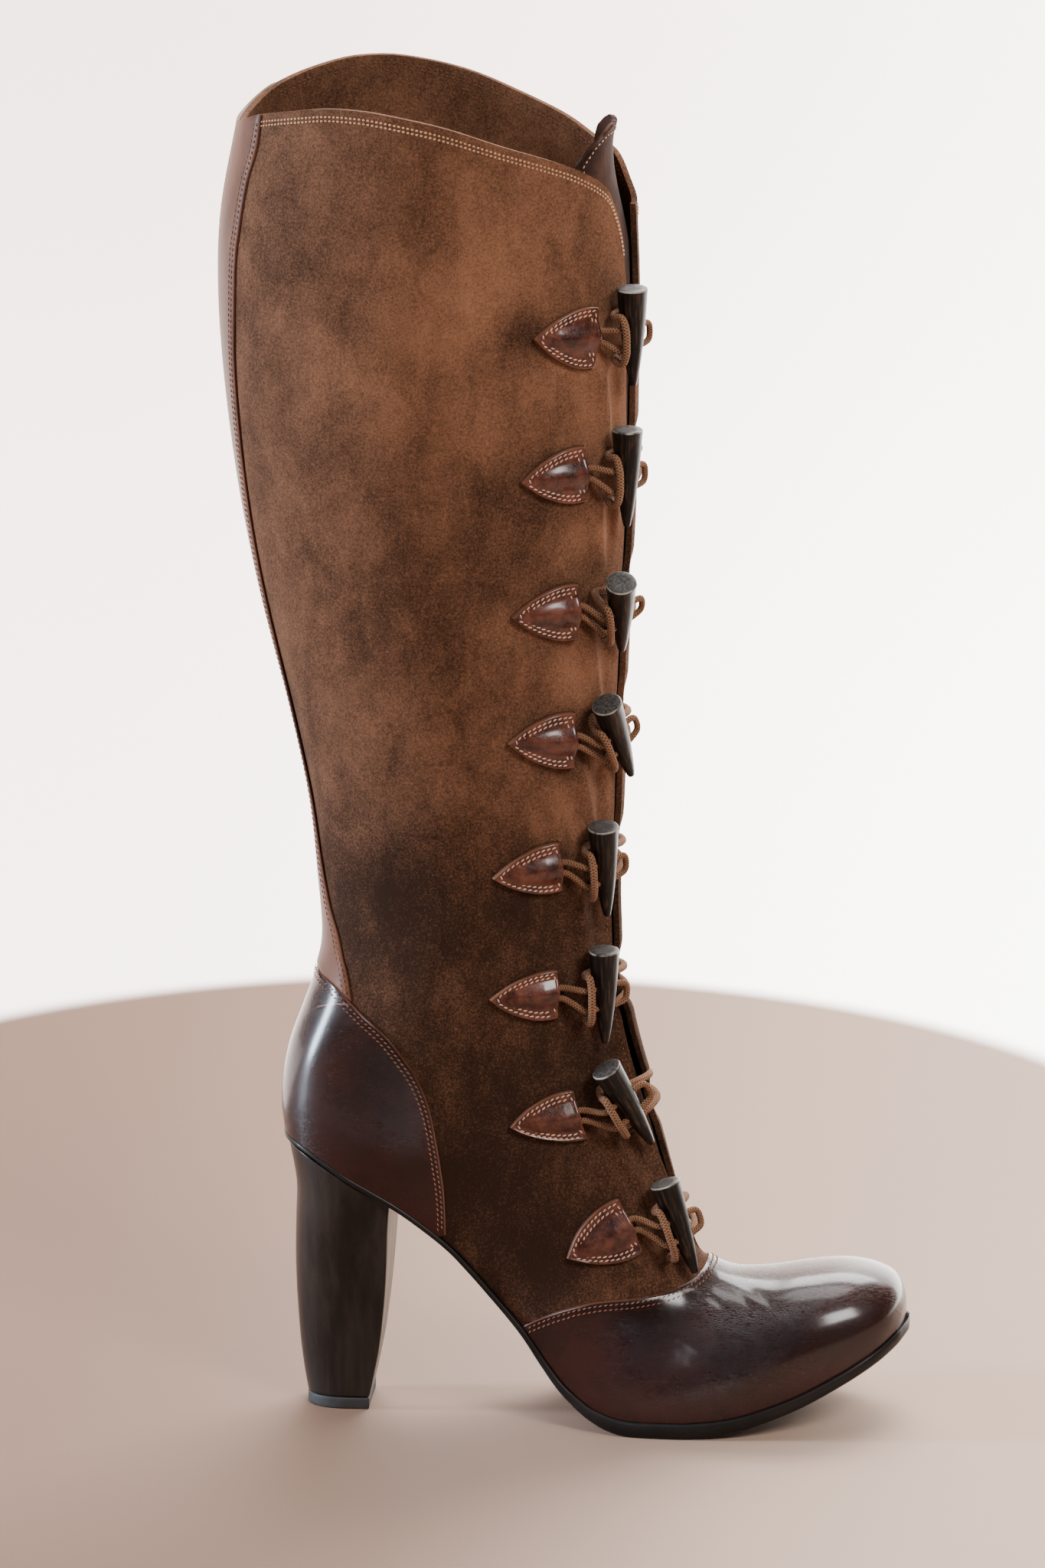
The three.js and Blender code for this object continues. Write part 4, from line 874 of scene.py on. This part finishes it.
def heel_point(up, share):
    back, breast, half = (np.interp(up, heel_fine[:, 0], heel_fine[:, k]) for k in (1, 2, 3))
    back, breast, half = seat_x + back * foot_length, seat_x + breast * foot_length, half * seat_width
    shoulder = back + shoulder_depth * (breast - back)
    turn = np.clip(share / round_share, 0, 1) * math.pi
    c, s = np.cos(turn), np.maximum(np.sin(turn), 0)
    round_x, round_y = shoulder - (shoulder - back) * s**0.9, half * np.abs(c) ** 0.8 * np.sign(c)
    t = np.clip((share - round_share) / (1 - round_share), 0, 1) * 4
    run = np.minimum(t, 4 - t)
    x_share, y_share = (np.interp(run, flat_rows[:, 0], flat_rows[:, k]) for k in (1, 2))
    flat_x = shoulder + (breast - shoulder) * x_share
    flat_y = half * y_share * np.where(t < 2, -1, 1)
    on_round = share <= round_share
    return np.where(on_round, round_x, flat_x), np.where(on_round, round_y, flat_y)


def rule_of_heel(low_up, top_of):
    def rule(u, v):
        up = np.full(len(u), 0.5)
        for _ in range(4):
            x, y = heel_point(up, u)
            z = low_up + (top_of(x) - low_up) * v
            up = z / heel_height
        return {"at": np.stack([x, y, z], 1)}

    return rule


def closed(bm):
    bmesh.ops.remove_doubles(bm, verts=bm.verts, dist=1e-5)
    bmesh.ops.holes_fill(bm, edges=[e for e in bm.edges if e.is_boundary])
    bmesh.ops.recalc_face_normals(bm, faces=bm.faces)


heel_columns = 132
rim_bevel = rounded(0.0005, 3, 0.9)
bm = bmesh.new()
laid(bm, heel_columns, 60, rule_of_heel(lift_height + clearance, lambda x: np.interp(
    x, sole_under[:, 0], sole_under[:, 1]) - clearance))
closed(bm)
piece("heel_block", bm, heel_leather, "heel", merge=0, modifiers=[rim_bevel])

lift_rubber = Finish("lift_rubber")
lift_tone = lift_rubber.noise(0.004, 4, 0.7)
lift_rubber.wear(base_color=lift_rubber.mix(lift_tone, colour(26, 24, 25), colour(52, 48, 49)),
                 roughness=lift_tone * 0.2 + 0.55, normal=lift_rubber.relief(lift_tone, 0.0003, 0.4))
bm = bmesh.new()
laid(bm, heel_columns, 3, rule_of_heel(0.0, lambda x: np.full(len(x), lift_height)))
for v in bm.verts:
    v.co.z = min(v.co.z, lift_height)
closed(bm)
piece("heel_lift", bm, lift_rubber, "top_lift", merge=0, modifiers=[rim_bevel])

# Tabs, toggles and cords. Each fastening has a leather shield on both flaps, stitched round over the
# ends of its cord, a turned and pierced horn toggle on the outer cord and a plain loop on the inner one.
tab_leather = Finish("tab_leather", coat_weight=0.5, coat_roughness=0.16, specular_ior_level=0.12)
tab_tone = tab_leather.noise(0.006, 4, 0.65)
tab_edge = 1 - tab_leather.kept("edge").between(0.0004, 0.0009)
tab_dye = tab_leather.mix(tab_tone.between(0.3, 0.72), colour(44, 17, 12), colour(98, 52, 38))
tab_leather.wear(
    base_color=tab_leather.mix(tab_edge, tab_dye, colour(104, 66, 48)),
    roughness=tab_tone * 0.2 + 0.2 + tab_edge * 0.3,
    normal=tab_leather.relief(tab_leather.cells(0.0009, "SMOOTH_F1"), 0.00012, 0.4,
                              over=tab_leather.relief(tab_leather.noise(0.0022, 4, 0.65), 0.0009, 0.6)))
horn = Finish("horn", specular_ior_level=0.18)
own_place = horn.node("ShaderNodeAttribute", {"attribute_name": "own"}, out="Vector")
grain = horn.noise(0.0011, 4, 0.6, where=horn.stretched((1, 1, 0.06), where=own_place))
blot = horn.noise(0.007, 3, 0.6)
rubbed = horn.kept("rim").between(0.55, 1.0) * blot.between(0.35, 0.6)
turned_side = horn.mix(grain.between(0.45, 0.75), colour(9, 6, 5), colour(62, 44, 34))
cut_face = horn.mix(grain.between(0.3, 0.7), colour(30, 27, 26), colour(74, 69, 66))
horn.wear(base_color=horn.mix(rubbed * 0.85, horn.mix(horn.kept("face"), turned_side, cut_face),
                              colour(176, 166, 154)),
          roughness=grain * 0.25 + 0.28, normal=horn.relief(grain, 0.0002, 0.35))
cord_cloth = Finish("cord", sheen_weight=0.04, specular_ior_level=0.1)
thread_map = cord_cloth.node("ShaderNodeUVMap", {"uv_map": "UVMap"})
# Strands that wind round the cord, 900 to the metre and 4 starts each way
strands_along, strand_starts = 900, 4


def strands(lean):
    wound = (cord_cloth.axis(0, thread_map) * (math.pi * 2 * strands_along)
             + cord_cloth.axis(1, thread_map) * (math.pi * 2 * strand_starts * lean))
    return wound.math("SINE", wound)


plait_and_groove_shade = cord_cloth.place.math("MAXIMUM", strands(1), strands(-1))
cord_tone = cord_cloth.noise(0.003, 3, 0.6)
# The cord's colour follows the plait: painted shade darkens the grooves between the strands
cord_cloth.wear(base_color=cord_cloth.mix(plait_and_groove_shade.between(-0.6, 0.9) * 0.7 + cord_tone * 0.3,
                                          colour(52, 32, 22), colour(136, 96, 70)),
                roughness=cord_tone * 0.1 + 0.8, normal=cord_cloth.relief(plait_and_groove_shade, 0.00025, 0.7))

toggle_length, toggle_radius, toggle_tip = 0.037, 0.0057, 0.0015
cord_radius, loop_radius, hole_spacing = 0.0012, 0.0014, 0.008
tab_length, tab_height, tab_thickness, pocket_depth = 0.026, 0.022, 0.0019, 0.0026
cord_rise = 0.0022 + 0.3 * cord_radius
# up, set, reach, raise, turn, high, lean, tilt, lift, as in the part
closures = [
    (0.8259, 11.6, 11.0, 1.1, -4, 1.08, 2, 0, 0), (0.7213, 12.6, 13.1, 2.9, 2, 1, 1, 0, 0),
    (0.6189, 13.0, 12.4, 2.3, 0, 1, 25, 19, 0), (0.5234, 9.2, 13.6, 0.5, -3, 1, 30, 5, 0),
    (0.4252, 11.2, 13.4, 1.6, 6, 0.9, 9, 3, 0), (0.3289, 11.5, 14.0, 2.8, 0, 0.92, 1, 6, 0.3),
    (0.2455, 11.0, 15.4, 0.3, -4, 0.95, 22, 7, 0.9), (0.1507, 10.9, 12.1, 8.3, -1, 1, -5, 8, 0.6),
]
inner_set = 0.006
# Outline of a tab: along, half its height
tab_line = smooth_line([(0.00, 0.48), (0.12, 0.50), (0.32, 0.48), (0.52, 0.40), (0.70, 0.29),
                        (0.86, 0.15), (1.00, 0.00)])
# The turn at which heights are read, close beside the slit, and a place on the last below its foot
beside_slit, foot_of_slit = math.pi * 0.93, 22.0


def place_of_height(z):
    return float(halved(0.0, foot_of_slit, lambda place: bare(place, np.array(beside_slit))[2] > z, 40))


# Points by distance along a section from the edge of the slit, distance up the leg and height
class Walk:
    def __init__(self, place):
        self.place = place
        self.turns = np.linspace(0.15, 1.85, 1401) * math.pi
        self.gone = distance_along(bare(np.full(len(self.turns), place), self.turns))
        self.edge = np.interp(slit_turn(np.array(place), 0.0), self.turns, self.gone)

    def at(self, arc, up, height):
        arc, up, height = np.broadcast_arrays(*(np.asarray(n, float) for n in (arc, up, height)))
        turn = np.interp(self.edge - arc, self.gone, self.turns)
        place = np.full(arc.shape, self.place)
        step = np.linalg.norm(bare(place + 0.01, turn) - bare(place - 0.01, turn), axis=-1) / 0.02
        return skin(place - up / step, turn, height)

    def seat(self, arc):
        point, normal = self.at(arc, 0.0, 0.0)
        back = unit(self.at(arc + 1e-4, 0.0, 0.0)[0] - point)
        up = unit(np.cross(normal, back))
        return point, normal, back, up if up[2] > 0 else -up


# A round cord along a smooth path through the points
def tube(name, points, radius, finish):
    p = np.asarray(points)
    knots = np.concatenate([[0], np.cumsum(np.linalg.norm(np.diff(p, axis=0), axis=1) ** 0.5)])
    ends = np.vstack([2 * p[0] - p[1], p, 2 * p[-1] - p[-2]])
    steps = np.concatenate([[2 * knots[0] - knots[1]], knots, [2 * knots[-1] - knots[-2]]])
    path = []
    for i in range(1, len(ends) - 2):
        for t in np.linspace(steps[i], steps[i + 1], 9)[:-1]:
            a = [ends[i - 1 + k] for k in range(4)]
            s = steps[i - 1:i + 3]
            b = [((s[k + 1] - t) * a[k] + (t - s[k]) * a[k + 1]) / (s[k + 1] - s[k]) for k in range(3)]
            c = [((s[k + 2] - t) * b[k] + (t - s[k]) * b[k + 1]) / (s[k + 2] - s[k]) for k in range(2)]
            path.append(((s[2] - t) * c[0] + (t - s[1]) * c[1]) / (s[2] - s[1]))
    path = np.array(path + [p[-1]])
    gone = distance_along(path)
    count = max(24, int(gone[-1] / 0.0007))
    wanted = np.linspace(0, gone[-1], count + 1)
    path = np.stack([np.interp(wanted, gone, path[:, k]) for k in range(3)], 1)
    run = unit(np.gradient(path, axis=0))
    side = [unit(np.cross(run[0], (0.3, 0.5, 0.81)))]
    for i in range(1, len(path)):
        side.append(unit(side[-1] - run[i] * (side[-1] @ run[i])))
    side = np.array(side)
    other = np.cross(run, side)
    made = bmesh.new()
    bmesh.ops.create_grid(made, x_segments=count, y_segments=12, size=0.5)
    around = made.loops.layers.uv.new("UVMap")
    for f in made.faces:
        for loop in f.loops:
            loop[around].uv = ((loop.vert.co.x + 0.5) * gone[-1], loop.vert.co.y + 0.5)
    for v in made.verts:
        i, turn = round((v.co.x + 0.5) * count), (v.co.y + 0.5) * 2 * math.pi
        v.co = path[i] + radius * (math.cos(turn) * side[i] + math.sin(turn) * other[i])
    closed(made)
    cord = piece(name + "_cloth", made, finish, name, merge=0)


# Stitches: short thread ends on tracks of points, with the way out of the leather at each point
def thread(name, gloss, rough, dark, light):
    made = Finish(name, specular_ior_level=gloss, roughness=rough)
    made.wear(base_color=made.mix(made.noise(0.004, 2, 0.5), dark, light))
    return made


linen = thread("thread", 0.3, 0.6, colour(150, 104, 76), colour(205, 160, 124))


def sew(name, tracks, pitch=0.0022, size=(0.0015, 0.0006, 0.0005), slant=0.0, finish=linen):
    one = bmesh.new()
    lying = Matrix.Rotation(math.pi / 2, 4, "Y")
    bmesh.ops.create_uvsphere(one, u_segments=6, v_segments=4, radius=0.5, matrix=lying)
    bmesh.ops.scale(one, verts=one.verts, vec=size)
    stitch = bpy.data.meshes.new("stitch")
    one.to_mesh(stitch)
    one.free()
    sewn = bmesh.new()
    for points, outs in tracks:
        gone = distance_along(points)

        def read(far, values):
            return Vector([np.interp(far, gone, values[:, k]) for k in range(3)])

        for far in np.arange(pitch / 2, gone[-1] - pitch / 4, pitch):
            at = read(far, points)
            ahead = read(min(far + pitch / 2, gone[-1]), points)
            out = read(far, outs).normalized()
            run = (ahead - at).normalized() if (ahead - at).length > 1e-9 else run
            run = (run + slant * out.cross(run)).normalized()
            side = out.cross(run).normalized()
            matrix = Matrix((run, side, run.cross(side))).transposed().to_4x4()
            matrix.translation = at
            stitch.transform(matrix)
            sewn.from_mesh(stitch)
            stitch.transform(matrix.inverted())
    return piece(name, sewn, finish, None, merge=0)


# A point on a tab: distance from its front, distance up, height over the skin
def tab_at(walk, arc_0, way, raised, turn, along, up, height):
    return walk.at(arc_0 + way * (along * math.cos(turn) + up * math.sin(turn)),
                   up * math.cos(turn) - along * math.sin(turn) + raised, height)


def rule_of_tab(spot, high):
    def rule(u, v):
        along = u**0.9
        half = np.interp(along, tab_line[:, 0], tab_line[:, 1]) * tab_height * high
        across = v * 2 - 1
        to_side = half * (1 - np.abs(across))
        to_front = along * tab_length
        to_back = (1 - along) * tab_length
        edge = np.minimum(np.minimum(to_side * 0.9, to_front), to_back)
        drop = np.sqrt(np.clip(edge / 0.0006, 0, 1))
        rim = 0.0004 * np.exp(-(((edge - 0.0007) / 0.0005) ** 2))
        middle = np.clip(1 - np.abs(across) * half / (0.0068 * (1 - 0.45 * along)), 0, 1)
        front = np.clip(1.25 - along * 1.15, 0, 1)
        dome = 0.0026 * (middle * middle * (3 - 2 * middle)) ** 0.7 * front * np.clip(to_back / 0.010, 0, 1)
        inside = np.clip((edge - 0.0040) / 0.0022, 0, 1)
        height = clearance + tab_thickness * (0.12 + 0.88 * drop) + rim + np.hypot(dome, 0.0004 * inside)
        at, out = spot(along * tab_length, across * half, height)
        return {"at": at, "out": out, "edge": edge}

    return rule


tab_stitches = []
for index, (up, set_by, reach, raised, turned, high, lean, tilt, lift) in enumerate(closures):
    number = index + 1
    walk = Walk(place_of_height(up * boot_height))
    set_by, reach, raised, lift = (n / 1000 for n in (set_by, reach, raised, lift))
    turned, lean, tilt = (math.radians(n) for n in (turned, lean, tilt))
    point, normal, back, leg_up = walk.seat(set_by)
    ride_height = (toggle_radius * 0.86 + 2 * cord_radius + 2 * clearance
                   + math.sin(tilt) * hole_spacing * 0.6 + lift)
    centre = point + normal * ride_height
    axis = unit((leg_up * math.cos(lean) + back * math.sin(lean)) * math.cos(tilt) + normal * math.sin(tilt))
    through = unit(back - axis * (back @ axis))
    facing = unit(np.cross(through, axis))
    facing = facing if facing @ normal > 0 else -facing

    def on_toggle(away, higher, out):
        return centre + through * away + axis * higher + facing * out

    # Toggle: horn turned to a taper, with two holes across it
    bm = bmesh.new()
    half = toggle_length / 2
    spread = toggle_radius - toggle_tip
    profile = smooth_line([
        (0.0001, -half), (toggle_tip * 0.62, -half + 0.0003), (toggle_tip, -half + 0.0012),
        (toggle_tip + spread * 0.34, -half * 0.5), (toggle_tip + spread * 0.72, half * 0.2),
        (toggle_radius - 0.0001, half - 0.0012)], 5).tolist()
    profile = [(0, -half), *profile, (toggle_radius, half - 0.0006), (toggle_radius - 0.0002, half - 0.0002),
               (toggle_radius - 0.0006, half), (toggle_radius * 0.5, half - 0.0002), (0, half - 0.0003)]
    line = [bm.verts.new((r, 0, z)) for r, z in profile]
    drawn = [bm.edges.new(pair) for pair in zip(line, line[1:])]
    bmesh.ops.spin(bm, geom=line + drawn, cent=(0, 0, 0), axis=(0, 0, 1), angle=2 * math.pi, steps=40,
                   use_merge=True)
    bmesh.ops.remove_doubles(bm, verts=bm.verts, dist=1e-5)
    bmesh.ops.recalc_face_normals(bm, faces=bm.faces)
    toggle = piece(f"toggle_{number}_horn", bm, horn, f"toggle_{number}", merge=0)
    hole = hole_spacing / 2
    drill = bmesh.new()
    for side in (1, -1):
        across = Matrix.Translation((0, 0, side * hole)) @ Matrix.Rotation(math.pi / 2, 4, "Y")
        bmesh.ops.create_cone(drill, cap_ends=True, segments=16, radius1=cord_radius + clearance,
                              radius2=cord_radius + clearance, depth=0.03, matrix=across)
    drilled = bpy.data.meshes.new("drill")
    drill.to_mesh(drilled)
    drill.free()
    cutter = placed("drill", drilled)
    cut = toggle.modifiers.new("Holes", "BOOLEAN")
    cut.object, cut.operation, cut.solver = cutter, "DIFFERENCE", "EXACT"
    pierced = bpy.data.meshes.new_from_object(toggle.evaluated_get(bpy.context.evaluated_depsgraph_get()))
    toggle.modifiers.clear()
    toggle.data = pierced
    bpy.data.objects.remove(cutter)
    # Kept with the toggle: its own place for the grain, nearness to the rim, and its wide face
    shape = np.array([v.co for v in pierced.vertices])
    from_rim = (np.hypot(shape[:, 0], shape[:, 1]) - toggle_radius, shape[:, 2] - half + 0.0003)
    at_rim = np.exp(-((from_rim[0] / 0.0007) ** 2 + (from_rim[1] / 0.0007) ** 2))
    on_face = (shape[:, 2] > half - 0.00045) * 1.0
    for key, kind, field, values in (("own", "FLOAT_VECTOR", "vector", shape + (0.05 * number, 0, 0)),
                                     ("rim", "FLOAT", "value", at_rim), ("face", "FLOAT", "value", on_face)):
        pierced.attributes.new(key, kind, "POINT")
        pierced.attributes[key].data.foreach_set(field, values.astype(np.float32).ravel())
    basis = Matrix((through, np.cross(axis, through), axis)).transposed().to_4x4()
    basis.translation = Vector(centre)
    pierced.transform(basis)
    pierced.polygons.foreach_set("use_smooth", [True] * len(pierced.polygons))
    pierced.set_sharp_from_angle(angle=0.7)

    # Cord of the toggle: out of the tab, through one hole, round the front and back through the other
    tab_arc = set_by + reach

    def outer_spot(along, up_tab, height):
        return tab_at(walk, tab_arc, 1, raised, turned, along, up_tab, height)

    def strand(side):
        return [outer_spot(pocket_depth, side * 0.0021, cord_rise)[0],
                outer_spot(-0.001, side * 0.0021, cord_rise + 0.0001)[0],
                on_toggle(toggle_radius + (reach - toggle_radius) * 0.3, side * hole, 0),
                on_toggle(toggle_radius, side * hole, 0), on_toggle(0.002, side * hole, 0),
                on_toggle(-0.002, side * hole, 0), on_toggle(-toggle_radius + 0.0004, side * hole, 0)]

    tube(f"toggle_cord_{number}", [*strand(1), on_toggle(-toggle_radius - 0.0038, hole * 0.7, 0),
                                   on_toggle(-toggle_radius - 0.0038, -hole * 0.7, 0), *strand(-1)[::-1]],
         cord_radius, cord_cloth)

    # Loop of the inner flap: across the slit, behind the toggle and closed over its cord
    inner_arc = -(slit_width + reach + inner_set)
    flat = cord_radius + clearance + 0.0002 + lift
    way_up = hole + 2 * cord_radius + clearance + 0.0014 + max(0, raised) * 0.12

    def inner_spot(along, up_tab, height):
        return tab_at(walk, inner_arc, -1, 0, 0, along, up_tab, height)

    def loop_strand(side):
        shift = set_by + math.sin(lean) * side * way_up
        front = inner_arc + 0.0045
        return [inner_spot(pocket_depth, side * 0.0021, cord_rise)[0],
                walk.at(inner_arc + 0.0012, side * 0.0021, cord_rise + 0.0001)[0],
                walk.at(front, side * 0.0026, flat + 0.0004)[0],
                walk.at((front - slit_width) / 2, side * 0.0036, flat + 0.0001)[0],
                walk.at(-slit_width, side * 0.0046, flat)[0], walk.at(0, side * 0.0056, flat)[0],
                walk.at((shift - 0.0025) / 2, side * 0.0062, flat)[0],
                walk.at(shift - 0.0025, side * way_up, flat)[0],
                walk.at(shift + 0.0025, side * way_up, flat + 0.0001)[0],
                on_toggle(toggle_radius + 0.0006, side * way_up, -0.0032),
                on_toggle(toggle_radius + 0.0014, side * (way_up + 0.0004), 0.0006),
                on_toggle(toggle_radius + 0.0022, side * 0.0050, 0.0030)]

    over_front = on_toggle(toggle_radius + 0.0026, 0, 0.0036)
    tube(f"loop_cord_{number}", [*loop_strand(1), over_front, *loop_strand(-1)[::-1]],
         loop_radius, cord_cloth)

    # Tabs, and two rows of thread round each
    for side, spot, share in (("outer", outer_spot, high), ("inner", inner_spot, 1)):
        name = f"tab_{side}_{number}"
        bm = bmesh.new()
        laid(bm, 52, 46, rule_of_tab(spot, share))
        bmesh.ops.remove_doubles(bm, verts=bm.verts, dist=2e-5)
        bmesh.ops.holes_fill(bm, edges=[e for e in bm.edges if e.is_boundary])
        piece(name + "_leather", bm, tab_leather, name, merge=0)
        top = clearance + tab_thickness + 0.0002
        for inset in (0.0018, 0.0034):
            a = np.linspace(inset / tab_length, 1 - inset / tab_length * 1.9, 40)
            h = np.interp(a, tab_line[:, 0], tab_line[:, 1]) * tab_height * share - inset
            run = np.concatenate([a[h > 0], a[h > 0][::-1]])
            off = np.concatenate([h[h > 0], -h[h > 0][::-1]])
            tab_stitches.append(spot(run * tab_length, off, top))
            off = np.concatenate([np.linspace(0.47 * tab_height * share - inset, 0.0052, 10),
                                  np.linspace(-0.0052, inset - 0.47 * tab_height * share, 10)])
            for part in (off[:10], off[10:]):
                tab_stitches.append(spot(np.full(10, inset), part, top))

pink_linen = thread("tab_thread", 0.3, 0.6, colour(166, 118, 98), colour(218, 176, 152))
sew("stitches_tabs", tab_stitches, 0.0021, (0.0017, 0.0007, 0.0005), 0.3, pink_linen)

# Seam stitching. Two rows of thread along the seams of vamp and counter, along both edges of the strap
# and round the collar, and one row down the edges of the flaps and round the tongue.
thread_proud = 0.0001
seam_tracks = []
u = np.linspace(0.012, 0.988, 500)
for where in (seams["vamp"], seams["counter"]):
    first, _ = skin(*where(u, np.zeros(len(u))), clearance + overlay)
    for inset in (0.0016, 0.0034):
        far = np.full(len(u), 1e-3)
        for _ in range(6):
            at, _ = skin(*where(u, far), clearance + overlay)
            far = np.minimum(far * inset / np.maximum(np.linalg.norm(at - first, axis=1), 1e-6), 0.9)
        seam_tracks.append(skin(*where(u, far), clearance + overlay + thread_proud))
brown_linen = thread("seam_thread", 0.2, 0.7, colour(92, 54, 38), colour(150, 104, 80))
sew("stitches_seams", seam_tracks, 0.0020, (0.0014, 0.0005, 0.0005), 0.35, brown_linen)

strap_tracks = []
v = np.linspace(0.01, 0.985, 400)
for edge, inset in ((0.0, 0.0014), (0.0, 0.0032), (1.0, 0.0032), (1.0, 0.0014)):
    place, turn = strap_where(np.full(len(v), edge), v)
    girth = np.linalg.norm(bare(place, turn + 0.01) - bare(place, turn - 0.01), axis=1) / 0.02
    inwards = turn - np.sign(turn) * inset / girth
    strap_tracks.append(skin(place, inwards, clearance + overlay + thread_proud))
sew("stitches_strap", strap_tracks, 0.0021, (0.0013, 0.0005, 0.0004), 0.2, brown_linen)

collar_tracks, inside_tracks, flap_tracks = [], [], []
for side in (1, -1):
    rule = rule_of_flap(side)
    u = np.linspace(0.03, 0.88, 500)
    top = rule(u, np.zeros(len(u)))["at"]
    lower = rule(u, np.full(len(u), 0.02))["at"]
    for inset in (0.0032, 0.0047):
        kept = rule(u, 0.02 * inset / np.linalg.norm(lower - top, axis=1))
        collar_tracks.append((kept["at"] + kept["out"] * thread_proud, kept["out"]))
        inside_tracks.append((kept["at"] - kept["out"] * (wall + thread_proud), -kept["out"]))
    v = np.linspace(0.012, 0.80, 900)
    first = rule(np.zeros(len(v)), v)["at"]
    second = rule(np.full(len(v), 0.08), v)["at"]
    kept = rule(0.08 * (0.0022 / np.linalg.norm(second - first, axis=1)) ** (1 / flap_crowding), v)
    keep = kept["at"][:, 2] > 0.068
    flap_tracks.append((kept["at"][keep] - kept["out"][keep] * thread_proud, kept["out"][keep]))
dull_linen = thread("edge_thread", 0.2, 0.8, colour(74, 46, 32), colour(120, 82, 60))
sew("stitches_collar", collar_tracks, 0.00165, (0.0011, 0.0009, 0.0006), 0.0)
sew("stitches_inside", inside_tracks, 0.0022, (0.0013, 0.0005, 0.0004), 0.0, dull_linen)
sew("stitches_flaps", flap_tracks, 0.0022, (0.0012, 0.0005, 0.0004), 0.0, dull_linen)
top_row = tongue_top - 0.005
rise = np.linspace(0.80, top_row, 60)
tongue_run = [(np.zeros(60), rise), (np.linspace(0, 1, 30), np.full(30, top_row)), (np.ones(60), rise[::-1])]
tongue_runs = [tongue_at(across, up, 0.0022, thread_proud) for across, up in tongue_run]
tongue_track = [np.concatenate(parts) for parts in zip(*tongue_runs)]
sew("stitches_tongue", [tongue_track], 0.0022, (0.0013, 0.0006, 0.0004), 0.0)

# Floor and light. A plain pale table, painted darker to the left and lighter to the right as painted shade
# and light, with a white sheet rising behind it that glows as painted light, brighter to the right, under
# two soft lights from the front, a narrow cold one at the left for the gleam on counter and heel, one behind
# and one above.
floor_with_painted_light = Finish("floor_with_painted_light", roughness=0.7, specular_ior_level=0.2, emission_strength=1.0)
floor_y = floor_with_painted_light.axis(1)
painted_light_across = (floor_with_painted_light.axis(0) / (floor_y * 0.4 + 1)).between(-0.22, 0.20)
table_middle = (-0.069, 0.26, 0)
from_middle = floor_with_painted_light.place
for operation, other in (("SUBTRACT", table_middle), ("MAXIMUM", (-9, 0, 0))):
    from_middle = floor_with_painted_light.node("ShaderNodeVectorMath", {"operation": operation},
                                   {0: from_middle, 1: other})
table_reach = floor_with_painted_light.node("ShaderNodeVectorMath", {"operation": "LENGTH"}, {0: from_middle}, out=1)
floor_back = table_reach.between(0.290, 0.310) * floor_y.between(0.24, 0.30)
# The table is painted darker to the left, painted shade, and the sheet glows brighter to the right, painted
# light
table_colour_and_shade = floor_with_painted_light.mix(painted_light_across, colour(112, 84, 67), colour(172, 145, 128))
sheet_glow = floor_with_painted_light.mix(painted_light_across, (2.6, 1.95, 1.75, 1), (6.0, 5.8, 5.5, 1))
floor_with_painted_light.wear(base_color=floor_with_painted_light.mix(floor_back, table_colour_and_shade, colour(240, 236, 233)),
                 emission_color=floor_with_painted_light.mix(floor_back, (0, 0, 0, 1), sheet_glow))
bm = bmesh.new()
half_width, bend_at, bend = 4.0, 3.6, 0.6
curve = [(bend_at + bend * math.sin(a), bend - bend * math.cos(a)) for a in np.linspace(0, math.pi / 2, 16)]
profile = [(-4.0, 0.0), (0.5, 0.0), *curve, (bend_at + bend, 6.0)]
line = [bm.verts.new((-half_width, y, z)) for y, z in profile]
drawn = [bm.edges.new(pair) for pair in zip(line, line[1:])]
swept = bmesh.ops.extrude_edge_only(bm, edges=drawn)["geom"]
far_side = [v for v in swept if isinstance(v, bmesh.types.BMVert)]
bmesh.ops.translate(bm, verts=far_side, vec=(2 * half_width, 0, 0))
bmesh.ops.recalc_face_normals(bm, faces=bm.faces)
mesh = bpy.data.meshes.new("floor")
for f in bm.faces:
    f.smooth = True
bm.to_mesh(mesh)
bm.free()
mesh.materials.append(floor_with_painted_light.material)
floor = placed("floor", mesh)

lamps_look_at = Vector((0, 0, 0.22))
for name, place, size, power, tint in (
        ("key", (1.6, -2.0, 2.3), (1.0, 1.0), 108, (1.0, 0.98, 0.95)),
        ("fill", (-1.2, -2.6, 1.6), (0.7, 0.7), 22, (0.94, 0.97, 1.0)),
        ("strip", (-1.7, -0.15, 0.5), (0.17, 0.95), 70, (0.70, 0.84, 1.0)),
        ("back", (0.2, 1.0, 1.5), (1.1, 0.6), 50, (1.0, 1.0, 1.0)),
        ("top", (0.1, 0.3, 2.6), (1.4, 1.0), 34, (1.0, 1.0, 1.0))):
    lamp = bpy.data.lights.new(name, "AREA")
    lamp.shape, lamp.size, lamp.size_y, lamp.energy, lamp.color = "RECTANGLE", *size, power, tint
    light = placed(name, lamp)
    light.location = place
    light.rotation_euler = (lamps_look_at - Vector(place)).to_track_quat("-Z", "Y").to_euler()
world = bpy.data.worlds.new("room")
bpy.context.scene.world = world
world.use_nodes = True
sky = world.node_tree.nodes["Background"].inputs
sky["Color"].default_value = (1.0, 0.99, 0.98, 1)
sky["Strength"].default_value = 0.12
